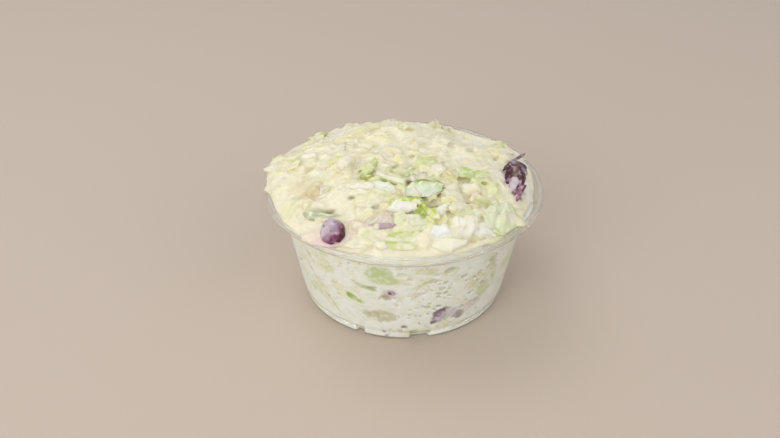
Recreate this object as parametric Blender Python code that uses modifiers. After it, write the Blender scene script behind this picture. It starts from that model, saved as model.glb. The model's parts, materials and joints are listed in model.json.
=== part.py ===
# A clear thermoformed portion cup, heaped with creamy coleslaw.
# Metres, +Z up. The origin is the centre of the cup's foot, on the surface that the cup stands on.
# The front of the cup is its -Y side.

import math

import bmesh
import bpy
from mathutils import Matrix, Vector, noise

MM = 0.001

# The cup's film and outside sizes
FILM = 0.5 * MM
RIM_RADIUS = 37.0 * MM
CUP_HEIGHT = 31.5 * MM
SKIRT_DROP = 1.4 * MM
FOOT_RADIUS = 28.4 * MM
FOOT_HEIGHT = 2.8 * MM
FOOT_RING_WIDTH = 3.4 * MM
PANEL_RISE = 1.0 * MM
CUP_STEPS = 64
EDGE_FILLET = 0.7 * MM
LEDGE_FILLET = 0.6 * MM
WALL_FOOT_FILLET = 0.5 * MM
RING_OUTER_FILLET = 0.4 * MM
RING_INNER_FILLET = 0.5 * MM
PANEL_FILLET = 0.3 * MM
PANEL_DRAFT = 0.6 * MM

# The inside line of the wall: a straight draft up to a lid ledge, then a steeper rim
WALL_FOOT_RADIUS = 28.5 * MM
WALL_FOOT_HEIGHT = 3.2 * MM
LEDGE_RADIUS = 32.8 * MM
LEDGE_HEIGHT = 28.2 * MM
LEDGE_WIDTH = 2.0 * MM
LEDGE_DISH = 0.3 * MM
LIP_WIDTH = 1.6 * MM

# The foot ring is dented inwards in three places alike, each a narrow and a wide dent either side of a lug.
# Angles are counted from the front, towards +X.
LUGS = 3
NARROW_DENT = (math.radians(-21.5), math.radians(4.2))
WIDE_DENT = (math.radians(10.7), math.radians(9.9))
DENT_DEPTH = 1.4 * MM
DENT_HEIGHT = 1.9 * MM
LINING_INSET = 0.4 * MM
LINING_LAP = 0.1 * MM
PAST = 2.0 * MM

# The coleslaw
GAP = 0.3 * MM
SLAW_STEPS = 64
HEAP_RISE = 8.6 * MM
HEAP_RADIUS = 34.0 * MM
HEAP_FULLNESS = 4
HEAP_RINGS = 18
OVERHANG_START = 6
OVERHANG = 1.4 * MM
OVERHANG_LEAN = 0.9 * MM
OVERHANG_WANDER = 0.5 * MM
OVERHANG_SIDE = math.radians(-115)
LUMP_HEIGHT = 1.5 * MM
LUMP_SIZE = 9.0 * MM
SHRED_HEIGHT = 0.9 * MM
SHRED_SIZE = 5.0 * MM
SHRED_STRETCH = 1.6
RELIEF_FADE = 2.0 * MM


def clear_scene():
    for old in list(bpy.data.objects):
        bpy.data.objects.remove(old)


def collection(name):
    made = bpy.data.collections.new(name)
    bpy.context.scene.collection.children.link(made)
    return made


def around(angle, radius):
    """A point at this radius; the angle is counted from the front, towards +X."""
    return Vector((radius * math.sin(angle), -radius * math.cos(angle), 0.0))


def rounded(corners):
    """The (radius, height) outline through corners given as (radius, height, fillet, arc steps)."""
    outline = []
    for i, (r, z, fillet, steps) in enumerate(corners):
        corner = Vector((r, z))
        if not fillet:
            outline.append(corner)
            continue
        before = (Vector(corners[i - 1][:2]) - corner).normalized()
        after = (Vector(corners[i + 1][:2]) - corner).normalized()
        half = before.angle(after) / 2
        centre = corner + (before + after).normalized() * fillet / math.sin(half)
        start = (corner + before * fillet / math.tan(half) - centre).normalized()
        end = (corner + after * fillet / math.tan(half) - centre).normalized()
        for step in range(steps + 1):
            outline.append(centre + start.slerp(end, step / steps) * fillet)
    return outline


def turned(name, outline, steps, owner):
    """An object whose Screw modifier turns the outline round Z."""
    mesh = bpy.data.meshes.new(name)
    points = [(p[0], 0.0, p[1]) for p in outline]
    mesh.from_pydata(points, [(i, i + 1) for i in range(len(points) - 1)], [])
    made = bpy.data.objects.new(name, mesh)
    owner.objects.link(made)
    screw = made.modifiers.new("Turn", "SCREW")
    screw.axis = "Z"
    screw.steps = steps
    screw.render_steps = steps
    screw.use_merge_vertices = True
    screw.merge_threshold = 0.00001
    return made


def as_mesh(made):
    """Applies the object's modifiers."""
    bpy.context.view_layer.update()
    graph = bpy.context.evaluated_depsgraph_get()
    applied = bpy.data.meshes.new_from_object(made.evaluated_get(graph))
    made.modifiers.clear()
    made.data = applied
    return made


def dent_boxes(name, low_radius, high_radius, margin, low, high, owner):
    """One box at each dent, wider by the margin on both sides, joined in one hidden helper."""
    mesh = bpy.data.meshes.new(name)
    bm = bmesh.new()
    for lug in range(LUGS):
        for middle, width in (NARROW_DENT, WIDE_DENT):
            angle = middle + lug * math.tau / LUGS
            across = 2 * (FOOT_RADIUS * math.sin(width / 2) + margin)
            size = (across, high_radius - low_radius, high - low, 1)
            place = around(angle, (low_radius + high_radius) / 2)
            place.z = (low + high) / 2
            matrix = Matrix.Translation(place) @ Matrix.Rotation(angle, 4, "Z") @ Matrix.Diagonal(size)
            bmesh.ops.create_cube(bm, size=1.0, matrix=matrix)
    bm.to_mesh(mesh)
    bm.free()
    made = bpy.data.objects.new(name, mesh)
    made.hide_render = True
    made.display_type = "WIRE"
    owner.objects.link(made)
    return made


def boolean(made, other, operation):
    cut = made.modifiers.new(other.name, "BOOLEAN")
    cut.operation = operation
    cut.solver = "EXACT"
    cut.object = other


def principled(name, colour, roughness, transmission=0.0, ior=1.45):
    material = bpy.data.materials.new(name)
    material.use_nodes = True
    shader = material.node_tree.nodes["Principled BSDF"]
    shader.inputs["Base Color"].default_value = (*colour, 1.0)
    shader.inputs["Roughness"].default_value = roughness
    shader.inputs["Metallic"].default_value = 0.0
    shader.inputs["Transmission Weight"].default_value = transmission
    shader.inputs["IOR"].default_value = ior
    return material


def shade(made):
    made.data.shade_smooth()
    made.data.set_sharp_from_angle(angle=math.radians(35))


def sideways(corners, distance):
    """The same corners moved to the left of their path, with fillets that keep the distance even."""
    places = [Vector(corner[:2]) for corner in corners]
    moved = []
    for i, (r, z, fillet, steps) in enumerate(corners):
        ahead = places[min(i + 1, len(places) - 1)] - places[min(i, len(places) - 2)]
        behind = places[max(i, 1)] - places[max(i - 1, 0)]
        left = ahead.normalized().orthogonal()
        left_behind = behind.normalized().orthogonal()
        mitre = (left + left_behind) / (1 + left.dot(left_behind))
        place = places[i] + mitre * distance
        turns_left = behind.cross(ahead) > 0
        beside = fillet - distance if turns_left else fillet + distance
        moved.append((*place, max(beside, 0.0) if fillet else 0, steps))
    return moved


def food_side():
    """The film's food side, from the skirt's lower edge over the lip and down to the middle of the floor."""
    lip_inner = RIM_RADIUS - LIP_WIDTH
    ledge_outer = LEDGE_RADIUS + LEDGE_WIDTH
    floor = PANEL_RISE + FILM
    ring_inside = FOOT_RADIUS - FOOT_RING_WIDTH - FILM
    return (
        (RIM_RADIUS, CUP_HEIGHT - SKIRT_DROP, 0, 0),
        (RIM_RADIUS, CUP_HEIGHT, EDGE_FILLET, 3),
        (lip_inner, CUP_HEIGHT, EDGE_FILLET, 2),
        (ledge_outer, LEDGE_HEIGHT + LEDGE_DISH, LEDGE_FILLET, 1),
        (LEDGE_RADIUS, LEDGE_HEIGHT, LEDGE_FILLET, 1),
        (WALL_FOOT_RADIUS, WALL_FOOT_HEIGHT, WALL_FOOT_FILLET, 1),
        (FOOT_RADIUS - FILM, FOOT_HEIGHT, 0, 0),
        (FOOT_RADIUS - FILM, FILM, RING_OUTER_FILLET, 2),
        (ring_inside, FILM, RING_INNER_FILLET, 1),
        (ring_inside - PANEL_DRAFT, floor, PANEL_FILLET, 1),
        (0.0, floor, 0, 0),
    )


def make_cup(owner, helpers):
    inside = rounded(food_side())
    outside = rounded(sideways(food_side(), FILM))
    cup = as_mesh(turned("cup", list(reversed(inside)) + outside, CUP_STEPS, owner))
    dent_radius = FOOT_RADIUS - DENT_DEPTH
    lining = dent_boxes(
        "dent_lining",
        dent_radius - FILM,
        FOOT_RADIUS - LINING_INSET,
        FILM,
        FILM - LINING_LAP,
        DENT_HEIGHT + FILM,
        helpers,
    )
    hollow = dent_boxes("dent_hollow", dent_radius, FOOT_RADIUS + PAST, 0.0, -PAST, DENT_HEIGHT, helpers)
    boolean(cup, lining, "UNION")
    boolean(cup, hollow, "DIFFERENCE")
    as_mesh(cup)
    shade(cup)
    cup.data.materials.clear()
    cup.data.materials.append(principled("clear_pet", (0.92, 0.93, 0.90), 0.08, 0.95, 1.57))
    return cup


def heap_height(radius):
    """How far the smooth heap stands above the lip, at a distance from the axis."""
    return HEAP_RISE * (1 - (radius / HEAP_RADIUS) ** HEAP_FULLNESS)


def slaw_outline():
    """The slaw's outline against the cup, then out over the lip and up the smooth heap to its middle."""
    floor = PANEL_RISE + FILM + GAP
    ring_inside = FOOT_RADIUS - FOOT_RING_WIDTH - FILM
    lip_inner = RIM_RADIUS - LIP_WIDTH
    ledge_outer = LEDGE_RADIUS + LEDGE_WIDTH
    against = rounded(
        (
            (0.0, floor, 0, 0),
            (ring_inside - PANEL_DRAFT, floor, 0, 0),
            (ring_inside + 2 * GAP, FILM + GAP, 0, 0),
            (FOOT_RADIUS - FILM - 2 * GAP, FILM + GAP, 0, 0),
            (FOOT_RADIUS - FILM - GAP, FILM + 2 * GAP, 0, 0),
            (FOOT_RADIUS - FILM - GAP, FOOT_HEIGHT, 0, 0),
            (WALL_FOOT_RADIUS - GAP, WALL_FOOT_HEIGHT + GAP, 0, 0),
            ((WALL_FOOT_RADIUS + LEDGE_RADIUS) / 2 - GAP, (WALL_FOOT_HEIGHT + LEDGE_HEIGHT) / 2, 0, 0),
            (LEDGE_RADIUS - GAP, LEDGE_HEIGHT + GAP, 0, 0),
            (ledge_outer - 2 * GAP, LEDGE_HEIGHT + LEDGE_DISH + GAP, 0, 0),
            (lip_inner - 2 * GAP, CUP_HEIGHT - 2 * GAP, 0, 0),
            (lip_inner - GAP, CUP_HEIGHT + GAP, 0, 0),
        )
    )
    heap = []
    for ring in range(HEAP_RINGS + 1):
        radius = HEAP_RADIUS * (1 - ring / HEAP_RINGS)
        heap.append(Vector((radius, CUP_HEIGHT + 2.5 * GAP + heap_height(radius))))
    return list(reversed(against + heap))


def relief(point):
    """The uneven top: broad lumps with shreds of cabbage on them."""
    broad = noise.noise(point / LUMP_SIZE) * LUMP_HEIGHT
    stretched = Vector((point.x, point.y * SHRED_STRETCH, point.z))
    ridge = 0.5 - 2 * abs(noise.noise(stretched / SHRED_SIZE + Vector((7, 3, 1))))
    return broad + ridge * SHRED_HEIGHT


def overhang(angle):
    """How far the slaw reaches out over the lip: it leans to one side and wanders."""
    lean = math.cos(angle - OVERHANG_SIDE) * OVERHANG_LEAN
    wander = noise.noise(around(angle, 3.0)) * OVERHANG_WANDER
    return OVERHANG + lean + wander


def make_slaw(owner, helpers):
    slaw = as_mesh(turned("slaw", slaw_outline(), SLAW_STEPS, owner))
    above = CUP_HEIGHT + 2 * GAP
    for vertex in slaw.data.vertices:
        if vertex.co.z < above:
            continue
        flat = Vector((vertex.co.x, vertex.co.y, 0.0))
        radius = flat.length
        lift = min(1.0, (vertex.co.z - above) / RELIEF_FADE)
        if radius > 0:
            angle = math.atan2(flat.x, -flat.y)
            vertex.co += flat.normalized() * overhang(angle) * (radius / HEAP_RADIUS) ** OVERHANG_START
        vertex.co.z += relief(vertex.co) * lift
    room = dent_boxes(
        "dent_room",
        FOOT_RADIUS - DENT_DEPTH - FILM - GAP,
        FOOT_RADIUS + PAST,
        FILM + GAP,
        -PAST,
        DENT_HEIGHT + FILM + GAP,
        helpers,
    )
    boolean(slaw, room, "DIFFERENCE")
    as_mesh(slaw)
    shade(slaw)
    slaw.data.materials.clear()
    slaw.data.materials.append(principled("dressed_cabbage", (0.80, 0.76, 0.56), 0.35))
    return slaw


def main():
    clear_scene()
    parts = collection("coleslaw_portion")
    helpers = collection("cutters")
    make_cup(parts, helpers)
    make_slaw(parts, helpers)


main()
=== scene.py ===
import json
import math

import bmesh
import bpy
import numpy as np
from mathutils import Matrix, Vector, noise
from mathutils.bvhtree import BVHTree

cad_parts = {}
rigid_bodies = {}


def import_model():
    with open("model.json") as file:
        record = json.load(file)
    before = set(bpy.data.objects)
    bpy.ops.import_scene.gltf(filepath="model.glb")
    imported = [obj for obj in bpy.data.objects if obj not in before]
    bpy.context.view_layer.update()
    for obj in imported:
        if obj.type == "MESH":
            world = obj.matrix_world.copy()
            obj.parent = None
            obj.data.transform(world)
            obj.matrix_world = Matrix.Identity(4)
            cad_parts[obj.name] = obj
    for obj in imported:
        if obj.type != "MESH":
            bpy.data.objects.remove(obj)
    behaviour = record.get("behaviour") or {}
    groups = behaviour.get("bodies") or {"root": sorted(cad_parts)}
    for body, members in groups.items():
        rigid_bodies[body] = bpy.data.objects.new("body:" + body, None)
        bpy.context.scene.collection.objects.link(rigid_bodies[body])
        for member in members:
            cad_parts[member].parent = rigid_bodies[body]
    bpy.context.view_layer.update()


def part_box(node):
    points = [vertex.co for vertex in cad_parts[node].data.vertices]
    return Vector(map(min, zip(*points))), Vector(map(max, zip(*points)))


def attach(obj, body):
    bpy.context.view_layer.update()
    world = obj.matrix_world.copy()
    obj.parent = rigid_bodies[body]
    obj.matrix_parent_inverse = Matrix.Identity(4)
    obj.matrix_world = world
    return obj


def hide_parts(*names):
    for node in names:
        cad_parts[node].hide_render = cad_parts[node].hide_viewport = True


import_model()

mm = 0.001
cupLow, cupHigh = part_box("cup")
rimRadius = (cupHigh[0] - cupLow[0]) / 2 / mm  # everything below is worked out in millimetres
lipHeight = cupHigh[2] / mm
sideways = np.array([1, 1, 0])  # keeps x and y, and drops the height


def linearColour(hexText):  # sRGB hex to the linear colour that the shaders want
    parts = [int(hexText[i : i + 2], 16) / 255 for i in (1, 3, 5)]
    return tuple(p / 12.92 if p <= 0.04045 else ((p + 0.055) / 1.055) ** 2.4 for p in parts) + (1.0,)


def toneOf(hexText):
    return np.array(linearColour(hexText)[:3])


def blended(colour, hexText, share):  # share is a column, one for each point
    return colour * (1 - share) + toneOf(hexText) * share


def addNode(tree, kind, settings=None, links=None):
    node = tree.nodes.new(kind)
    for name, value in (settings or {}).items():  # attributes such as an operation come first
        if isinstance(name, int) or name in node.inputs:
            node.inputs[name].default_value = value
        else:
            setattr(node, name, value)
    for name, source in (links or {}).items():
        tree.links.new(source, node.inputs[name])
    return node


def newMaterial(name, settings):
    material = bpy.data.materials.new(name)
    material.use_nodes = True
    shader = material.node_tree.nodes["Principled BSDF"]
    for setting, value in settings.items():
        shader.inputs[setting].default_value = value
    return material, material.node_tree, shader


def addNoise(tree, grain, detail):  # soft noise; grain is its size in mm
    place = addNode(tree, "ShaderNodeTexCoord")
    settings = {"Scale": 1 / (grain * mm), "Detail": detail}
    return addNode(tree, "ShaderNodeTexNoise", settings, {"Vector": place.outputs["Object"]})


def addBump(tree, shader, height, strength, depth):
    settings = {"Strength": strength, "Distance": depth * mm}
    bump = addNode(tree, "ShaderNodeBump", settings, {"Height": height.outputs["Fac"]})
    tree.links.new(bump.outputs["Normal"], shader.inputs["Normal"])


def smoothStep(low, high, value):
    t = np.clip((value - low) / (high - low), 0, 1)
    return t * t * (3 - 2 * t)


def waves(x, y, z=0.0, size=5.0, seed=0, octaves=2):  # soft noise about -1 to 1 for arrays of points, in mm
    shape = np.broadcast(x, y, z)
    spots = np.stack([np.broadcast_to(v, shape.shape).ravel() for v in (x, y, z)], 1) / size + seed * 17.3
    flat = [noise.fractal(Vector(p), 0.6, 2.0, octaves) for p in spots]
    return np.array(flat).reshape(shape.shape)


def degreesBetween(angle, middle):
    return (angle - middle + 180) % 360 - 180


def bell(x, y, middleX, middleY, halfX, halfY):
    return np.exp(-(((x - middleX) / halfX) ** 2) - ((y - middleY) / halfY) ** 2)


def addObject(name, data):
    added = bpy.data.objects.new(name, data)
    bpy.context.scene.collection.objects.link(added)
    return added


def newPiece(name, points, faces, material=None, smooth=True):
    mesh = bpy.data.meshes.new(name)
    mesh.from_pydata([tuple(p * mm) for p in np.asarray(points, float)], [], [tuple(f) for f in faces])
    mesh.validate()
    piece = addObject(name, mesh)
    if material:
        mesh.materials.append(material)
    if smooth:
        mesh.shade_smooth()
    return piece


def bakedCopy(piece):  # applies what is on the piece, as a plain mesh
    bpy.context.view_layer.update()
    graph = bpy.context.evaluated_depsgraph_get()
    mesh = bpy.data.meshes.new_from_object(piece.evaluated_get(graph))
    piece.modifiers.clear()
    piece.data = mesh
    return piece


def paint(piece, name, values):  # one value, or one colour, for each point
    if values.ndim == 1:
        layer = piece.data.attributes.new(name, "FLOAT", "POINT")
        layer.data.foreach_set("value", values.astype(np.float32))
    else:
        values = np.hstack([values, np.ones((len(values), 1))])
        layer = piece.data.attributes.new(name, "FLOAT_COLOR", "POINT")
        layer.data.foreach_set("color", values.astype(np.float32).ravel())


def pointsOf(piece):
    flat = np.empty(len(piece.data.vertices) * 3)
    piece.data.vertices.foreach_get("co", flat)
    return flat.reshape(-1, 3)


def normalsOf(piece):
    flat = np.empty(len(piece.data.vertices) * 3)
    piece.data.vertex_normals.foreach_get("vector", flat)
    return flat.reshape(-1, 3)


def valuesOf(piece, name):
    flat = np.empty(len(piece.data.vertices), np.float32)
    piece.data.attributes[name].data.foreach_get("value", flat)
    return flat


def coloursOf(piece, name):
    flat = np.empty(len(piece.data.vertices) * 4, np.float32)
    piece.data.attributes[name].data.foreach_get("color", flat)
    return flat.reshape(-1, 4)[:, :3]


def edgesOf(piece):
    flat = np.empty(len(piece.data.edges) * 2, np.int32)
    piece.data.edges.foreach_get("vertices", flat)
    return flat.reshape(-1, 2)


def ringFaces(ringCount, steps):
    faces = []
    for ring in range(ringCount - 1):
        for step in range(steps):
            a = ring * steps + step
            b = ring * steps + (step + 1) % steps
            faces.append((a, a + steps, b + steps, b))
    return faces


def closedRingFaces(ringCount, steps):  # the two points after the rings close the first and the last ring
    faces = ringFaces(ringCount, steps)
    last = (ringCount - 1) * steps
    for step in range(steps):
        after = (step + 1) % steps
        faces.append((last + steps, step, after))
        faces.append((last + steps + 1, last + after, last + step))
    return faces


cupShape = {  # millimetres; the foot's dents are counted from the front, towards +X
    "film": 0.5,
    "lipWidth": 1.6,
    "skirtDrop": 1.4,
    "ledge": (32.8, 28.2),
    "ledgeWidth": 2.0,
    "ledgeDish": 0.3,
    "wallFoot": (28.5, 3.2),
    "foot": (28.4, 2.8),
    "ringWidth": 3.4,
    "panelRise": 1.0,
    "lugs": 3,
    "dents": [(-21.5, 4.2), (10.7, 9.9)],  # middle and width in degrees, repeated for each lug
    "dentEdge": 0.6,  # degrees over which a dent's side turns in
    "dentDepth": 1.4,
    "dentHeight": 1.9,
    "steps": 480,
    "stretch": (0.3, 2.0),  # longest step between rings, where the foot is dented and elsewhere
    "sway": 0.10,  # thermoformed film is never quite true
    "swaySize": 11,
}


def foodSide():  # radius, height and fillet from the skirt's edge, over the lip, to the floor's middle
    s = cupShape
    ringInside = s["foot"][0] - s["ringWidth"] - s["film"]
    floor = s["panelRise"] + s["film"]
    return [
        (rimRadius, lipHeight - s["skirtDrop"], 0),
        (rimRadius, lipHeight, 0.7),
        (rimRadius - s["lipWidth"], lipHeight, 0.7),
        (s["ledge"][0] + s["ledgeWidth"], s["ledge"][1] + s["ledgeDish"], 0.6),
        (*s["ledge"], 0.6),
        (*s["wallFoot"], 0.5),
        (s["foot"][0] - s["film"], s["foot"][1], 0),
        (s["foot"][0] - s["film"], s["film"], 0.4),
        (ringInside, s["film"], 0.5),
        (ringInside - 0.6, floor, 0.3),
        (0.0, floor, 0),
    ]


def beside(corners, distance):  # the same corners moved to the left of their path, fillets kept even
    places = [Vector(c[:2]) for c in corners]
    moved = []
    for i, corner in enumerate(corners):
        ahead = (places[min(i + 1, len(places) - 1)] - places[min(i, len(places) - 2)]).normalized()
        behind = (places[max(i, 1)] - places[max(i - 1, 0)]).normalized()
        left, leftBehind = ahead.orthogonal(), behind.orthogonal()
        place = places[i] + (left + leftBehind) / (1 + left.dot(leftBehind)) * distance
        turn = -distance if behind.cross(ahead) > 0 else distance
        moved.append((*place, max(corner[2] + turn, 0.05) if corner[2] else 0))
    return moved


def roundedLine(corners, arcSteps=6):
    line = []
    for i, (r, z, fillet) in enumerate(corners):
        corner = Vector((r, z))
        if not fillet:
            line.append(corner)
            continue
        back = (Vector(corners[i - 1][:2]) - corner).normalized()
        on = (Vector(corners[i + 1][:2]) - corner).normalized()
        half = back.angle(on) / 2
        centre = corner + (back + on).normalized() * fillet / math.sin(half)
        start = (corner + back * fillet / math.tan(half) - centre).normalized()
        end = (corner + on * fillet / math.tan(half) - centre).normalized()
        line += [centre + start.slerp(end, step / arcSteps) * fillet for step in range(arcSteps + 1)]
    return line


def finer(line, longest):  # splits long stretches; longest is a function of radius and height
    points = [line[0]]
    for a, b in zip(line, line[1:]):
        count = max(1, math.ceil((b - a).length / longest(*((a + b) / 2))))
        points += [a.lerp(b, (k + 1) / count) for k in range(count)]
    return np.array([tuple(p) for p in points])


def dented(radius, height, angle, inset):  # inset is how far this skin lies inside the film's outer face
    s = cupShape
    inDent = np.zeros_like(angle, dtype=float)
    for lug in range(s["lugs"]):
        for middle, width in s["dents"]:
            away = np.abs(degreesBetween(angle, middle + lug * 360 / s["lugs"]))
            half, soft = width / 2, s["dentEdge"]
            inDent = np.maximum(inDent, 1 - smoothStep(half - soft, half + soft, away))
    top = s["dentHeight"] + inset
    below = 1 - smoothStep(top, top + 0.25, height)
    return radius - np.maximum(0, radius - (s["foot"][0] - s["dentDepth"] - inset)) * inDent * below


def turnedSkin(line, steps, insets):  # rings of points from a (radius, height) line
    angles = np.arange(steps) * 360 / steps
    r = dented(line[:, :1], line[:, 1:], angles[None, :], insets[:, None])
    a = np.radians(angles)[None, :]
    z = np.broadcast_to(line[:, 1:], r.shape)
    return np.stack([r * np.sin(a), -r * np.cos(a), z], -1)


def cupStretch(radius, height):
    onFootRing = height < 3.4 and radius > 24
    return cupShape["stretch"][0] if onFootRing else cupShape["stretch"][1]


def makePortionCup():
    s = cupShape
    inner = finer(roundedLine(foodSide()), cupStretch)
    outer = finer(roundedLine(beside(foodSide(), s["film"])), cupStretch)
    line = np.vstack([inner[::-1][1:], outer[:-1]])
    insets = np.concatenate([np.full(len(inner) - 1, s["film"]), np.zeros(len(outer) - 1)])
    points = turnedSkin(line, s["steps"], insets).reshape(-1, 3)
    sway = waves(points[:, 0], points[:, 1], points[:, 2] * 0.4, s["swaySize"], 3, 1)
    upper = smoothStep(4, 9, points[:, 2])[:, None]
    points = points + points * sideways / rimRadius * (sway * s["sway"])[:, None] * upper
    ends = [[0, 0, s["panelRise"] + s["film"]], [0, 0, s["panelRise"]]]
    faces = closedRingFaces(len(line), s["steps"])
    piece = newPiece("portionCup", np.vstack([points, ends]), faces, clearPet())
    piece.data.set_sharp_from_angle(angle=math.radians(50))
    return piece


petFinish = {
    "Base Color": linearColour("#fdfdfb"),
    "Roughness": 0.06,
    "IOR": 1.3,
    "Transmission Weight": 0.86,
}
petThinness = 0.5  # the share of sight that passes straight on, as through thin film


def clearPet():  # thermoformed PET film: clear, glossy, very slightly wavy; it lets the lamps through
    material, tree, shader = newMaterial("clearThermoformedPet", petFinish)
    addBump(tree, shader, addNoise(tree, 6, 1.0), 0.25, 0.15)
    rays = addNode(tree, "ShaderNodeLightPath")
    through = addNode(tree, "ShaderNodeBsdfTransparent", {"Color": linearColour("#fbfbf9")})
    settings = {"operation": "MAXIMUM", 1: petThinness}
    thin = addNode(tree, "ShaderNodeMath", settings, {0: rays.outputs["Is Shadow Ray"]})
    parts = {0: thin.outputs[0], 1: shader.outputs[0], 2: through.outputs[0]}
    mix = addNode(tree, "ShaderNodeMixShader", None, parts)
    tree.links.new(mix.outputs[0], tree.nodes["Material Output"].inputs["Surface"])
    return material


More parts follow.
